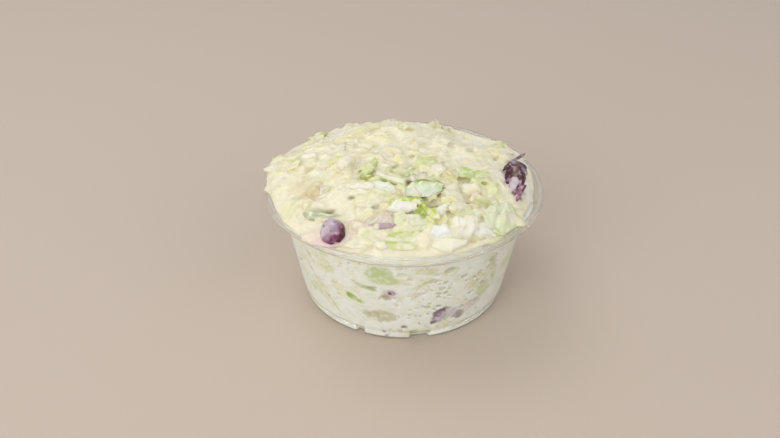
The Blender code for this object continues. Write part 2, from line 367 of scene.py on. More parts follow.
wallSlaw = {
    "reach": 0.12,  # how far it reaches into the film, so that no air shows
    "steps": 640,
    "rows": (0.3, 0.9, 1.7),  # height of a row on the wall, on the floor, and where the floor's rows begin
    "wallRadius": 30,  # turns degrees into mm along the wall
    "topRadius": 31.0,
    "belowLip": 0.2,  # how far down the rim's wall the slaw's edge is
    "clearSide": (72, 42, 1.3),  # where the rim stays clear: middle and half width in degrees, gap in mm
    "seed": 12,
    "patches": 330,
    "patchSize": (0.6, 3.0),
    "patchNarrow": (0.25, 0.7),
    "patchHeight": (1, 29),
    "patchStrength": (0.15, 0.75),
    "bubbles": 70,
    "bubbleSize": (0.25, 0.7),
    "largeBubble": (0.7, 1.2),
    "smallShare": 0.85,
    "bubbleHeight": (1, 27.5),
    "bubbleWide": (1, 1.5),
    # small bubbles close together: how many, middle and spread in degrees, then in mm
    "swarm": (85, 16.5, 13, 14.7, 5.0),
    "swarmSize": (0.28, 0.75),
    "swarmHeight": (4, 26),
    "footGap": 0.75,  # the dressing doesn't quite fill the foot's corner, except at the front lug
    "filledLug": (-7, 13),  # the foot ring is filled here: degrees from the front, and to each side
    "dressing": "#f7faf3",
    "shade": "#eff1e2",
    "foam": "#fdfcf8",
    "foamShare": 0.55,
    "shadeShare": 0.5,
    "shadow": 0.10 * np.array([0.8, 0.7, 1.5]),  # how much darker the streaks are in red, green and blue
    "patchEdge": (0.78, 1.1),
    "bubbleEdge": (0.55, 1.0),
    "bubbleTurn": 25,
    "shadeInBubble": np.array([0.15, 0.17, 0.27]),  # painted shade in a bubble: how much darker it is in red, green and blue
    "bubbleShadeDepth": (0.03, 0.45),  # mm deep: where the painted shade in a bubble starts and is darkest
    # waves: size in mm, seed, octaves
    "wobble": (2.6, 5, 3),
    "calm": (2.6, 6, 3),
    "shading": (7.5, 9, 3),
    "streak": (1.9, 14, 3),
    "lean": (4.0, 21, 2),
    "wobbleShare": 0.6,
    "calmShare": 0.26,
    "leanDepth": 0.05,
    # heights in mm over which the rim clears, the foot clears and the floor stays as it is
    "rimBand": (28.3, 29.4),
    "footBand": (1.6, 3.6),
    "floorBand": (0.8, 2.0),
    "tints": ["#e6e8c4", "#f4f1dc", "#dde3b0", "#f0ecce", "#fbfaf3", "#d5daaa", "#e3dcc2", "#ecedd2"],
    # what is pressed flat against the wall, and some painted shade: degrees from the front, height, half
    # sizes, turn, tint, strength
    "pressed": [
        (-8, 23.2, 3.9, 3.0, 12, "#d3dfae", 0.85),
        (-10, 24.0, 2.6, 1.9, 30, "#c3d594", 0.7),
        (-5, 21.6, 2.2, 1.3, 10, "#cbdba0", 0.6),
        (-15.4, 18.4, 2.9, 0.8, -12, "#b9c48f", 0.8),
        (-12.4, 18.6, 1.4, 0.5, 20, "#a3b36f", 0.7),
        (-18.5, 19.0, 2.2, 0.4, -24, "#c9d2a2", 0.7),
        (-22.8, 13.7, 1.9, 1.1, -28, "#a6c343", 1.0),
        (-19.8, 12.9, 1.8, 0.7, -30, "#b3ca58", 1.0),
        (-16.0, 12.0, 2.4, 0.5, -16, "#c7d687", 0.85),
        (-10.0, 8.8, 4.3, 2.6, -4, "#d6d2b6", 0.95),
        (-12.6, 9.0, 1.8, 1.6, 10, "#c6bf98", 0.7),
        (-15.6, 11.3, 2.4, 1.3, 14, "#f3f3e8", 1.0),
        (-5.2, 11.4, 2.6, 1.0, -16, "#f3f3e8", 1.0),
        (-12.6, 8.4, 1.2, 1.0, 30, "#dddbbd", 0.7),
        # painted shade in the open bubble at -6.2 degrees
        (-6.4, 15.9, 1.5, 1.5, 30, "#c9c4ac", 0.8),
        (-6.4, 15.7, 1.0, 1.1, 30, "#bab494", 0.7),
        (-3.9, 17.3, 1.9, 1.3, -20, "#dfcddb", 0.7),
        (-3.7, 17.3, 1.0, 0.8, -20, "#8c5a7d", 1.0),
        (-4.4, 17.1, 0.45, 0.5, -20, "#5a2c50", 1.0),
        (24.0, 8.6, 4.2, 2.2, -8, "#d3c9d2", 0.8),
        (19.6, 8.0, 1.7, 3.0, -30, "#9a7a98", 1.0),
        (18.4, 7.4, 0.9, 3.0, -26, "#54233f", 1.0),
        (20.0, 9.7, 1.5, 0.8, 20, "#5d2a4a", 1.0),
        (21.4, 7.4, 1.3, 2.2, -26, "#cbc0cd", 1.0),
        (19.6, 8.4, 0.6, 1.6, -26, "#8f6486", 0.9),
        # painted shade in the open bubble at 31 degrees
        (31.2, 6.9, 1.8, 1.6, 20, "#a99a92", 0.95),
        (30.6, 6.4, 1.0, 1.2, 20, "#86766c", 0.8),
        (37.0, 8.6, 4.5, 1.8, 20, "#d9cdd2", 0.55),
        (43.8, 13.0, 2.5, 3.4, 20, "#d6dda6", 0.8),
        (49.0, 17.0, 1.0, 4.6, 14, "#d9dfb2", 0.7),
        (46.0, 20.6, 2.2, 1.1, 10, "#cfcaa9", 0.7),
        (38.0, 17.5, 3.6, 3.2, 30, "#e8e5c6", 0.7),
        (13.3, 21.0, 2.3, 0.7, 8, "#cdd29c", 0.7),
        (11.5, 24.6, 3.0, 1.1, -5, "#dfe0b6", 0.7),
        # painted shade in the bubbles and gaps low against the foot
        (2.4, 4.9, 0.9, 0.6, 10, "#7b7455", 0.9),
        (-8.0, 2.4, 0.6, 0.5, 0, "#6f684c", 0.8),
        (-6.4, 1.1, 0.6, 0.5, 0, "#6f684c", 0.8),
        (6.5, 3.1, 1.2, 0.5, 5, "#77705a", 0.8),
        (-50.0, 19.6, 4.4, 0.7, -58, "#f2efcb", 0.9),
        (-45.4, 15.4, 5.2, 0.6, -60, "#cfd29c", 0.75),
        (-41.0, 11.2, 4.8, 0.8, -62, "#f3f0d2", 0.8),
        (-47.6, 22.8, 3.6, 0.9, -50, "#d7dba9", 0.7),
        (-36.5, 9.0, 4.0, 0.5, -52, "#d2d4a4", 0.7),
        (-35.0, 21.6, 2.8, 2.0, -30, "#e5e6bd", 0.7),
        (-30.0, 15.4, 1.8, 3.4, 18, "#eeeccb", 0.7),
        (60, 17, 3.0, 2.0, 30, "#d9dfab", 0.7),
        (118, 15, 2.6, 1.2, 20, "#9bb84a", 0.9),
        (135, 21, 3.2, 2.2, -25, "#c9d896", 0.85),
        (168, 9, 1.2, 2.0, 20, "#5b2c44", 1.0),
        (171, 9.4, 2.8, 2.4, 20, "#d5c6cf", 0.5),
        (205, 19, 3.4, 1.5, 35, "#c3d58a", 0.8),
        (228, 12, 4.2, 2.3, 5, "#d3ccac", 0.85),
        (247, 22, 1.6, 1.1, 60, "#6a3a55", 0.9),
    ],
    # open bubbles against the wall: degrees from the front, height, half width, half height, depth
    "open": [
        (1.2, 23.6, 1.3, 0.85, 0.8),
        (22.2, 23.9, 1.4, 0.9, 0.6),
        (46.4, 22.6, 1.7, 1.3, 0.6),
        (11.6, 17.0, 1.0, 0.6, 0.4),
        (0.3, 14.4, 0.8, 0.6, 0.4),
        (16.0, 21.2, 1.7, 0.5, 0.3),
        (24.0, 14.8, 1.2, 0.4, 0.3),
        (8.2, 2.6, 1.5, 0.8, 0.6),
        (2.4, 4.9, 0.85, 0.6, 0.6),
        (31.0, 6.7, 1.2, 1.3, 0.5),
        (-6.2, 15.7, 1.2, 1.0, 0.25),
        (4.9, 11.1, 0.6, 0.5, 0.3),
        (-8.0, 2.4, 0.6, 0.5, 0.4),
        (-5.0, 1.5, 0.6, 0.5, 0.4),
        (9.0, 14.0, 0.5, 0.4, 0.3),
        (17.5, 16.5, 0.6, 0.4, 0.3),
        (-2.2, 20.5, 0.5, 0.4, 0.3),
    ],
}


def patchDistance(angle, z, patch, wobble):  # 0 in a patch's middle, 1 at its edge
    middle, height, halfLength, halfWidth, turn = patch[:5]
    across = np.radians(degreesBetween(angle, middle)) * wallSlaw["wallRadius"]
    up = z - height
    t = math.radians(turn)
    u = (across * math.cos(t) + up * math.sin(t)) / halfLength
    v = (-across * math.sin(t) + up * math.cos(t)) / halfWidth
    return np.sqrt(u * u + v * v) + wobble


def wallPatches(rng):
    s = wallSlaw
    patches = []
    for _ in range(s["patches"]):
        size = rng.uniform(*s["patchSize"])
        narrow = size * rng.uniform(*s["patchNarrow"])
        tint = s["tints"][rng.integers(len(s["tints"]))]
        place = (rng.uniform(0, 360), rng.uniform(*s["patchHeight"]))
        patches.append((*place, size, narrow, rng.normal(0, 45), tint, rng.uniform(*s["patchStrength"])))
    return patches


def wallBubbles(rng):
    s = wallSlaw
    bubbles = list(s["open"])
    for _ in range(s["bubbles"]):
        small = rng.random() < s["smallShare"]
        size = rng.uniform(*(s["bubbleSize"] if small else s["largeBubble"]))
        place = (rng.uniform(0, 360), rng.uniform(*s["bubbleHeight"]))
        bubbles.append((*place, size * rng.uniform(*s["bubbleWide"]), size, size * 0.5))
    count, middle, spread, height, rise = s["swarm"]
    for _ in range(count):
        size = rng.uniform(*s["swarmSize"])
        place = (rng.normal(middle, spread), np.clip(rng.normal(height, rise), *s["swarmHeight"]))
        bubbles.append((*place, size * rng.uniform(*s["bubbleWide"]), size, size * 0.6))
    return bubbles


def wallOutline():
    s = wallSlaw
    row, floorRow, floorTop = s["rows"]
    corners = beside(foodSide(), s["reach"])[2:]
    start = Vector(corners[0][:2]).lerp(Vector(corners[1][:2]), s["belowLip"])
    corners = [(*start, 0)] + corners[1:]
    line = finer(roundedLine(corners, 3), lambda r, z: row if z > floorTop else floorRow)
    return np.vstack([[s["topRadius"], line[0][1] + 0.2], line[:-1]])


def makeWallSlaw():
    s = wallSlaw
    rng = np.random.default_rng(s["seed"])
    line = wallOutline()
    rows = len(line)
    inset = np.full(rows, cupShape["film"] - s["reach"])
    points = turnedSkin(line, s["steps"], inset).reshape(-1, 3)
    angle = np.tile(np.arange(s["steps"]) * 360 / s["steps"], rows)
    x, y, z = points.T
    wobble = waves(x, y, z, *s["wobble"]) * s["wobbleShare"]
    calm = waves(x, y, z, *s["calm"]) * s["calmShare"]
    colour = np.tile(toneOf(s["dressing"]), (len(points), 1))
    soft = smoothStep(-0.5, 0.7, waves(x, y, z * 1.5, *s["shading"]))[:, None]
    colour = blended(colour, s["shade"], s["shadeShare"] * soft)
    patches = [(patch, wobble) for patch in wallPatches(rng)] + [(patch, calm) for patch in s["pressed"]]
    for patch, wander in patches:
        away = patchDistance(angle, z, patch, wander)
        colour = blended(colour, patch[5], ((1 - smoothStep(*s["patchEdge"], away)) * patch[6])[:, None])
    streak = waves(x, y, z * 1.6, *s["streak"])
    colour = blended(colour, s["foam"], smoothStep(0.12, 0.5, streak)[:, None] * s["foamShare"])
    colour = colour * (1 - s["shadow"] * smoothStep(0.1, 0.55, -streak)[:, None])
    depth = np.zeros(len(points))
    for bubble in wallBubbles(rng):
        turn = rng.uniform(-s["bubbleTurn"], s["bubbleTurn"])
        away = patchDistance(angle, z, (*bubble[:4], turn), wobble * 0.5)
        depth = np.maximum(depth, (1 - smoothStep(*s["bubbleEdge"], away)) * bubble[4])
    # painted shade: the bubbles grow darker with their depth
    colour = colour * (1 - smoothStep(*s["bubbleShadeDepth"], depth)[:, None] * s["shadeInBubble"])
    lean = (waves(x, y, z, *s["lean"]) * s["leanDepth"]).clip(-s["leanDepth"], s["leanDepth"])
    middle, half, gap = s["clearSide"]
    offSide = np.abs(degreesBetween(angle, middle))
    clear = gap * (1 - smoothStep(half * 0.6, half, offSide)) * smoothStep(*s["rimBand"], z)
    middle, half = s["filledLug"]
    atLug = 1 - smoothStep(half, half + 2, np.abs(degreesBetween(angle, middle)))
    clear = clear + s["footGap"] * (1 - smoothStep(*s["footBand"], z)) * (1 - atLug)
    inward = (depth + lean + clear)[:, None] * sideways
    radial = points * sideways
    radial = radial / np.maximum(np.linalg.norm(radial, axis=1, keepdims=True), 1e-6)
    onWall = smoothStep(*s["floorBand"], z)[:, None]
    points = points - radial * inward * onWall
    ends = [[0, 0, line[0][1]], [0, 0, line[-1][1]]]
    faces = closedRingFaces(rows, s["steps"])
    piece = newPiece("wallSlaw", np.vstack([points, ends]), faces, pressedDressing())
    paint(piece, "slawColour", np.vstack([colour, colour[:1], colour[-1:]]))
    return piece


pressedFinish = {
    "Roughness": 0.5,
    "Specular IOR Level": 0.25,
    "Subsurface Weight": 0.35,
    "Subsurface Radius": (1.0, 0.8, 0.5),
    "Subsurface Scale": 1.0 * mm,
}


def pressedDressing():  # dressing and cabbage pressed flat on the film: wet, with little gloss of its own, and painted shade in its tiny bubbles
    material, tree, shader = newMaterial("pressedCreamDressing", pressedFinish)
    tone = addNode(tree, "ShaderNodeAttribute", {"attribute_name": "slawColour"})
    place = addNode(tree, "ShaderNodeTexCoord").outputs["Object"]
    # tiny bubbles against the film; painted shade darkens the inside of each
    grain = {"Scale": 1 / (1.5 * mm), "Randomness": 1.0}
    pits = addNode(tree, "ShaderNodeTexVoronoi", grain, {"Vector": place})
    grouping = addNode(tree, "ShaderNodeTexNoise", {"Scale": 1 / (8 * mm)}, {"Vector": place})
    reach = {"From Min": 0.42, "From Max": 0.68, "To Min": 0.0, "To Max": 0.28}
    pitSize = addNode(tree, "ShaderNodeMapRange", reach, {"Value": grouping.outputs["Fac"]})
    compared = {0: pits.outputs["Distance"], 1: pitSize.outputs[0]}
    inside = addNode(tree, "ShaderNodeMath", {"operation": "LESS_THAN"}, compared)
    pitShade = addNode(tree, "ShaderNodeMath", {"operation": "MULTIPLY", 1: 0.42}, {0: inside.outputs[0]})
    settings = {"data_type": "RGBA", "blend_type": "MULTIPLY", 7: linearColour("#8d8560")}
    mix = addNode(tree, "ShaderNodeMix", settings, {0: pitShade.outputs[0], 6: tone.outputs["Color"]})
    tree.links.new(mix.outputs[2], shader.inputs["Base Color"])
    return material


heap = {
    "base": -0.2,  # the core's edge against the lip; the cabbage on it adds its own height
    "rise": 6.0,
    "fullness": 4.0,
    "backFullness": 2.8,
    # how far out the heap reaches: degrees from the front, mm
    "edge": [
        (-150, 36.6),
        (-123, 36.8),
        (-96, 38.0),
        (-79, 36.2),
        (-69, 35.8),
        (-40, 36.9),
        (-19, 35.7),
        (2, 34.9),
        (23, 35.8),
        (42, 35.2),
        (70, 34.4),
        (91, 34.8),
        (111, 36.2),
        (130, 36.0),
        (150, 35.2),
        (180, 36.2),
    ],
    "edgeWander": 0.35,
    "lump": 0.8,
    "lumpSize": 7.0,
    "fold": 0.7,
    "foldSize": 3.6,
    "rings": 90,
    "steps": 260,
    "looseFrom": 0.86,  # share of the way out from which the heap grows calm
    "gap": 0.15,  # between the core and the rim's wall
    "coreTop": 0.4,  # how far below the lip the scattered pieces still start
    # broad swells and hollows: x, y, half width in x and y, height
    "swells": [
        (19, 22, 9, 9, -3.0),
        (18, 10, 7, 5, -0.4),
        (-2, 14, 13, 7, 0.7),
        (2, 29, 16, 5, -0.5),
        (-22, 18, 8, 8, -0.8),
        (-24, 3, 7, 8, -0.3),
        (-15, -6.4, 3.0, 3.0, 0.9),
        (0, -16, 13, 8, 0.6),
        (24, -14, 8, 8, -0.4),
        (-26, -26, 7, 5, 0.9),
        (-18.5, -22.6, 4.2, 1.9, -2.4),
        (-22, -16, 5, 3.4, -0.9),
        (-12.2, -19.4, 1.3, 1.1, -0.9),
        (2.4, -13.4, 1.6, 1.1, -2.2),
        (7.0, -22.2, 2.8, 1.1, -1.5),
        (16.4, -18.4, 0.8, 1.4, -2.0),
        (27.8, -3.5, 3.0, 5.5, -0.6),
        (15.4, -28.2, 4.0, 2.6, 0.7),
    ],
}


def heapEdge(angle):  # degrees from the front; how far out the heap reaches
    degrees, radii = np.array(heap["edge"]).T
    a = np.radians(angle)
    wander = waves(3 * np.sin(a), -3 * np.cos(a), 0.0, 1.2, 31, 2)
    return np.interp(angle, degrees, radii, period=360) + wander * heap["edgeWander"]


def heapTop(x, y):
    h = heap
    r = np.hypot(x, y)
    angle = np.degrees(np.arctan2(x, -y))
    share = np.clip(r / heapEdge(angle), 0, 1)
    back = smoothStep(-5, 25, y)
    fullness = h["fullness"] * (1 - back) + h["backFullness"] * back
    z = lipHeight + h["base"] + h["rise"] * (1 - share**fullness)
    loose = 1 - smoothStep(h["looseFrom"], 1.0, share)
    z = z + waves(x, y, 0.0, h["lumpSize"], 41, 2) * h["lump"] * (0.4 + 0.6 * loose)
    z = z + (0.5 - np.abs(waves(x, y * 1.7, 0.0, h["foldSize"], 43, 2))) * h["fold"] * 2 * loose
    for *swell, height in h["swells"]:
        z = z + height * loose * bell(x, y, *swell)
    return z


def makeHeapCore():
    h = heap
    angles = np.arange(h["steps"]) * 360 / h["steps"]
    a = np.radians(angles)
    edge = heapEdge(angles)
    ledgeRadius, ledgeHeight = cupShape["ledge"]
    rings = []
    for share in np.linspace(1 / h["rings"], 1, h["rings"]):
        x, y = edge * share * np.sin(a), -edge * share * np.cos(a)
        rings.append(np.stack([x, y, heapTop(x, y)], -1))
    rimWall = rimRadius - cupShape["lipWidth"] - h["gap"]
    under = [
        (edge, lipHeight + h["base"] - 0.35),
        (np.minimum(edge - 0.2, rimWall), lipHeight + h["base"] - 0.45),
        (np.minimum(edge - 0.4, rimWall - 0.1), lipHeight - 1.0),
        (np.minimum(edge - 0.9, ledgeRadius + 1.6), ledgeHeight + cupShape["ledgeDish"] + 0.1),
        (np.full_like(edge, 31.5), ledgeHeight + 0.3),
        (np.full_like(edge, 29.0), ledgeHeight - 0.6),
    ]
    for radius, z in under:
        rings.append(np.stack([radius * np.sin(a), -radius * np.cos(a), np.full_like(radius, z)], -1))
    points = np.vstack([np.array([[0, 0, heapTop(np.zeros(1), np.zeros(1))[0]]]), *rings])
    points = np.vstack([points, [[0, 0, ledgeHeight - 0.6]]])
    faces = [(0, 1 + s, 1 + (s + 1) % h["steps"]) for s in range(h["steps"])]
    faces += [tuple(i + 1 for i in face) for face in ringFaces(len(rings), h["steps"])]
    last = 1 + (len(rings) - 1) * h["steps"]
    faces += [(len(points) - 1, last + (s + 1) % h["steps"], last + s) for s in range(h["steps"])]
    return newPiece("heapCore", points, faces)


cabbageShapes = {  # half length, half width, thickness, bend, cup, curl
    "leafFlat": (3.4, 2.3, 0.6, -0.06, -0.08, 0.06),
    "leafWide": (4.2, 3.0, 0.6, -0.08, -0.10, -0.08),
    "leafCurled": (3.2, 1.9, 0.6, 0.14, 0.25, 0.15),
    "leafFolded": (3.0, 2.2, 0.6, -0.12, 0.40, 0.10),
    "shred": (4.2, 1.0, 0.8, 0.18, 0.25, 0.30),
    "shredShort": (2.5, 0.9, 0.8, -0.15, 0.20, -0.30),
    "rib": (2.7, 1.3, 1.7, 0.12, 0.10, 0.10),
    "ribThick": (2.0, 1.5, 1.9, 0.05, 0.10, 0.00),
    "scrap": (1.6, 1.3, 0.7, 0.20, 0.20, 0.20),
}
shapeVariants, shapeCells = 3, (8, 6)

leafOutline = {
    "cornerCut": 0.24,  # how much a leaf's corners are drawn in
    "endWander": 0.30,
    "sideWander": 0.35,
    "ridge": 0.3,  # how far from the middle a leaf's fold may run
    "thinSides": 0.5,
    "thinEnds": 0.4,
    "round": 0.94,
}


def leafShell(shape, cells, seed, skew=0.3, crinkle=0.3, sweep=0.0):
    halfLength, halfWidth, thick, bend, cup, curl = shape
    s = leafOutline
    rng = np.random.default_rng(seed)
    along, across = cells
    u = np.linspace(-1, 1, along + 1)[:, None] * np.ones((1, across + 1))
    v = np.ones((along + 1, 1)) * np.linspace(-1, 1, across + 1)[None, :]
    lean = rng.uniform(-skew, skew, 4)  # a chopped leaf is a rough four-sided piece
    plump = thick > halfWidth  # ribs and lumps are round all over, leaves are flat with soft corners
    corner = 1 - s["cornerCut"] * np.abs(u * v) ** 2.5
    if plump:
        corner = np.sqrt(1 - np.minimum(u * u, v * v) / 2)
    shift = rng.uniform(0, 50)
    edge = waves(u * 1.5, v * 1.3, shift, 1.0, 1, 1)
    side = waves(u * 1.4, v * 1.5, shift + 9, 1.0, 2, 1)
    x = u + lean[0] * v * halfWidth / halfLength + lean[1] * u * v + s["endWander"] * edge
    x = halfLength * corner * x
    y = halfWidth * corner * (v + lean[2] * u * 0.6 + lean[3] * u * v + s["sideWander"] * side)
    y = y + sweep * halfLength * (u * u - 0.4)
    ridge = rng.uniform(-s["ridge"], s["ridge"])
    z = bend * halfLength * (u * u - 0.4) + cup * halfWidth * (v - ridge) ** 2 + curl * halfWidth * u * v
    z = z + waves(u * halfLength, v * halfWidth, shift, 2.0, 3, 2) * crinkle * halfWidth
    taper = thick / 2 * (1 - s["thinSides"] * np.abs(v) ** 4) * (1 - s["thinEnds"] * np.abs(u) ** 6)
    if plump:
        taper = thick / 2 * np.sqrt(1 - s["round"] * np.maximum(np.abs(u), np.abs(v)) ** 2.4)
    top = np.stack([x, y, z + taper], -1).reshape(-1, 3)
    low = np.stack([x, y, z - taper], -1).reshape(-1, 3)
    points = np.vstack([top, low])
    n, row = len(top), across + 1
    faces = []
    for i in range(along):
        for j in range(across):
            a = i * row + j
            faces.append((a, a + row, a + row + 1, a + 1))
            faces.append((n + a, n + a + 1, n + a + row + 1, n + a + row))
    rim = list(range(row)) + [i * row + across for i in range(1, along + 1)]
    rim += [along * row + j for j in range(across - 1, -1, -1)] + [i * row for i in range(along - 1, 0, -1)]
    for a, b in zip(rim, rim[1:] + rim[:1]):
        faces.append((a, b, n + b, n + a))
    return points, faces, np.tile(u.ravel(), 2), np.tile(v.ravel(), 2)


def makeShapeSet(name, kinds, seed):  # a hidden collection that the scatter draws from
    collection = bpy.data.collections.new(name)
    for index, kind in enumerate(np.repeat(kinds, shapeVariants), 1):
        points, faces, along, across = leafShell(cabbageShapes[kind], shapeCells, seed + index)
        piece = newPiece(f"{name}{index:02d}", points, faces)
        paint(piece, "along", along)
        paint(piece, "across", across)
        bpy.context.scene.collection.objects.unlink(piece)
        collection.objects.link(piece)
    return collection


def dropShapeSet(collection):
    for piece in list(collection.objects):
        bpy.data.objects.remove(piece)
    bpy.data.collections.remove(collection)


def scatterTree():  # places the shapes of a collection on a surface, where its "crowd" attribute allows
    tree = bpy.data.node_groups.new("cabbageScatter", "GeometryNodeTree")
    face = tree.interface
    face.new_socket("Geometry", in_out="INPUT", socket_type="NodeSocketGeometry")
    kinds = {"Shapes": "Collection", "Seed": "Int", "Material": "Material"}
    kinds.update(dict.fromkeys(("Spacing", "Density", "Smallest", "Largest"), "Float"))
    kinds.update(dict.fromkeys(("Tilt", "Lift", "Lift Spread"), "Float"))
    for name, kind in kinds.items():
        face.new_socket(name, in_out="INPUT", socket_type=f"NodeSocket{kind}")
    face.new_socket("Geometry", in_out="OUTPUT", socket_type="NodeSocketGeometry")
    given = addNode(tree, "NodeGroupInput").outputs
    seed = given["Seed"]
    crowd = addNode(tree, "GeometryNodeInputNamedAttribute", {"data_type": "FLOAT", "Name": "crowd"})
    spots = addNode(
        tree,
        "GeometryNodeDistributePointsOnFaces",
        {"distribute_method": "POISSON"},
        {
            "Mesh": given["Geometry"],
            "Distance Min": given["Spacing"],
            "Density Max": given["Density"],
            "Density Factor": crowd.outputs["Attribute"],
            "Seed": seed,
        },
    )
    lifts = {0: given["Lift"], 1: given["Lift Spread"]}
    low = addNode(tree, "ShaderNodeMath", {"operation": "SUBTRACT"}, lifts)
    high = addNode(tree, "ShaderNodeMath", {"operation": "ADD"}, lifts)
    between = {2: low.outputs[0], 3: high.outputs[0], "Seed": seed}
    lift = addNode(tree, "FunctionNodeRandomValue", {"data_type": "FLOAT"}, between)
    normal = {0: spots.outputs["Normal"], "Scale": lift.outputs[1]}
    raised = addNode(tree, "ShaderNodeVectorMath", {"operation": "SCALE"}, normal)
    lifted = {"Geometry": spots.outputs["Points"], "Offset": raised.outputs[0]}
    moved = addNode(tree, "GeometryNodeSetPosition", None, lifted)
    zeroToOne = {"data_type": "FLOAT", 2: 0.0, 3: 1.0}
    tint = addNode(tree, "FunctionNodeRandomValue", zeroToOne, {"Seed": seed})
    tinted = addNode(
        tree,
        "GeometryNodeStoreNamedAttribute",
        {"data_type": "FLOAT", "domain": "POINT", "Name": "tint"},
        {"Geometry": moved.outputs[0], "Value": tint.outputs[1]},
    )
    tilts = {"X": given["Tilt"], "Y": given["Tilt"]}
    most = addNode(tree, "ShaderNodeCombineXYZ", {"Z": math.pi}, tilts)
    reverse = {"operation": "SCALE", "Scale": -1.0}
    least = addNode(tree, "ShaderNodeVectorMath", reverse, {0: most.outputs[0]})
    between = {0: least.outputs[0], 1: most.outputs[0], "Seed": seed}
    turn = addNode(tree, "FunctionNodeRandomValue", {"data_type": "FLOAT_VECTOR"}, between)
    asTurn = addNode(tree, "FunctionNodeEulerToRotation", None, {"Euler": turn.outputs[0]})
    turned = addNode(
        tree,
        "FunctionNodeRotateRotation",
        {"rotation_space": "LOCAL"},
        {"Rotation": spots.outputs["Rotation"], "Rotate By": asTurn.outputs[0]},
    )
    between = {2: given["Smallest"], 3: given["Largest"], "Seed": seed}
    size = addNode(tree, "FunctionNodeRandomValue", {"data_type": "FLOAT"}, between)
    apart = {"Separate Children": True, "Reset Children": True}
    shapes = addNode(tree, "GeometryNodeCollectionInfo", apart, {"Collection": given["Shapes"]})
    placed = addNode(
        tree,
        "GeometryNodeInstanceOnPoints",
        {"Pick Instance": True},
        {
            "Points": tinted.outputs[0],
            "Instance": shapes.outputs[0],
            "Rotation": turned.outputs[0],
            "Scale": size.outputs[1],
        },
    )
    real = addNode(tree, "GeometryNodeRealizeInstances", None, {"Geometry": placed.outputs[0]})
    coating = {"Geometry": real.outputs[0], "Material": given["Material"]}
    coated = addNode(tree, "GeometryNodeSetMaterial", None, coating)
    addNode(tree, "NodeGroupOutput", None, {"Geometry": coated.outputs[0]})
    return tree


def scatter(name, surface, tree, settings):  # a plain mesh of the scattered pieces
    piece = surface.copy()
    piece.name = name
    piece.data = surface.data.copy()
    bpy.context.scene.collection.objects.link(piece)
    made = piece.modifiers.new("Scatter", "NODES")
    made.node_group = tree
    for item in tree.interface.items_tree:
        if item.in_out == "INPUT" and item.name in settings:
            made[item.identifier] = settings[item.name]
    bakedCopy(piece)
    piece.data.name = name
    piece.data.shade_smooth()
    return piece


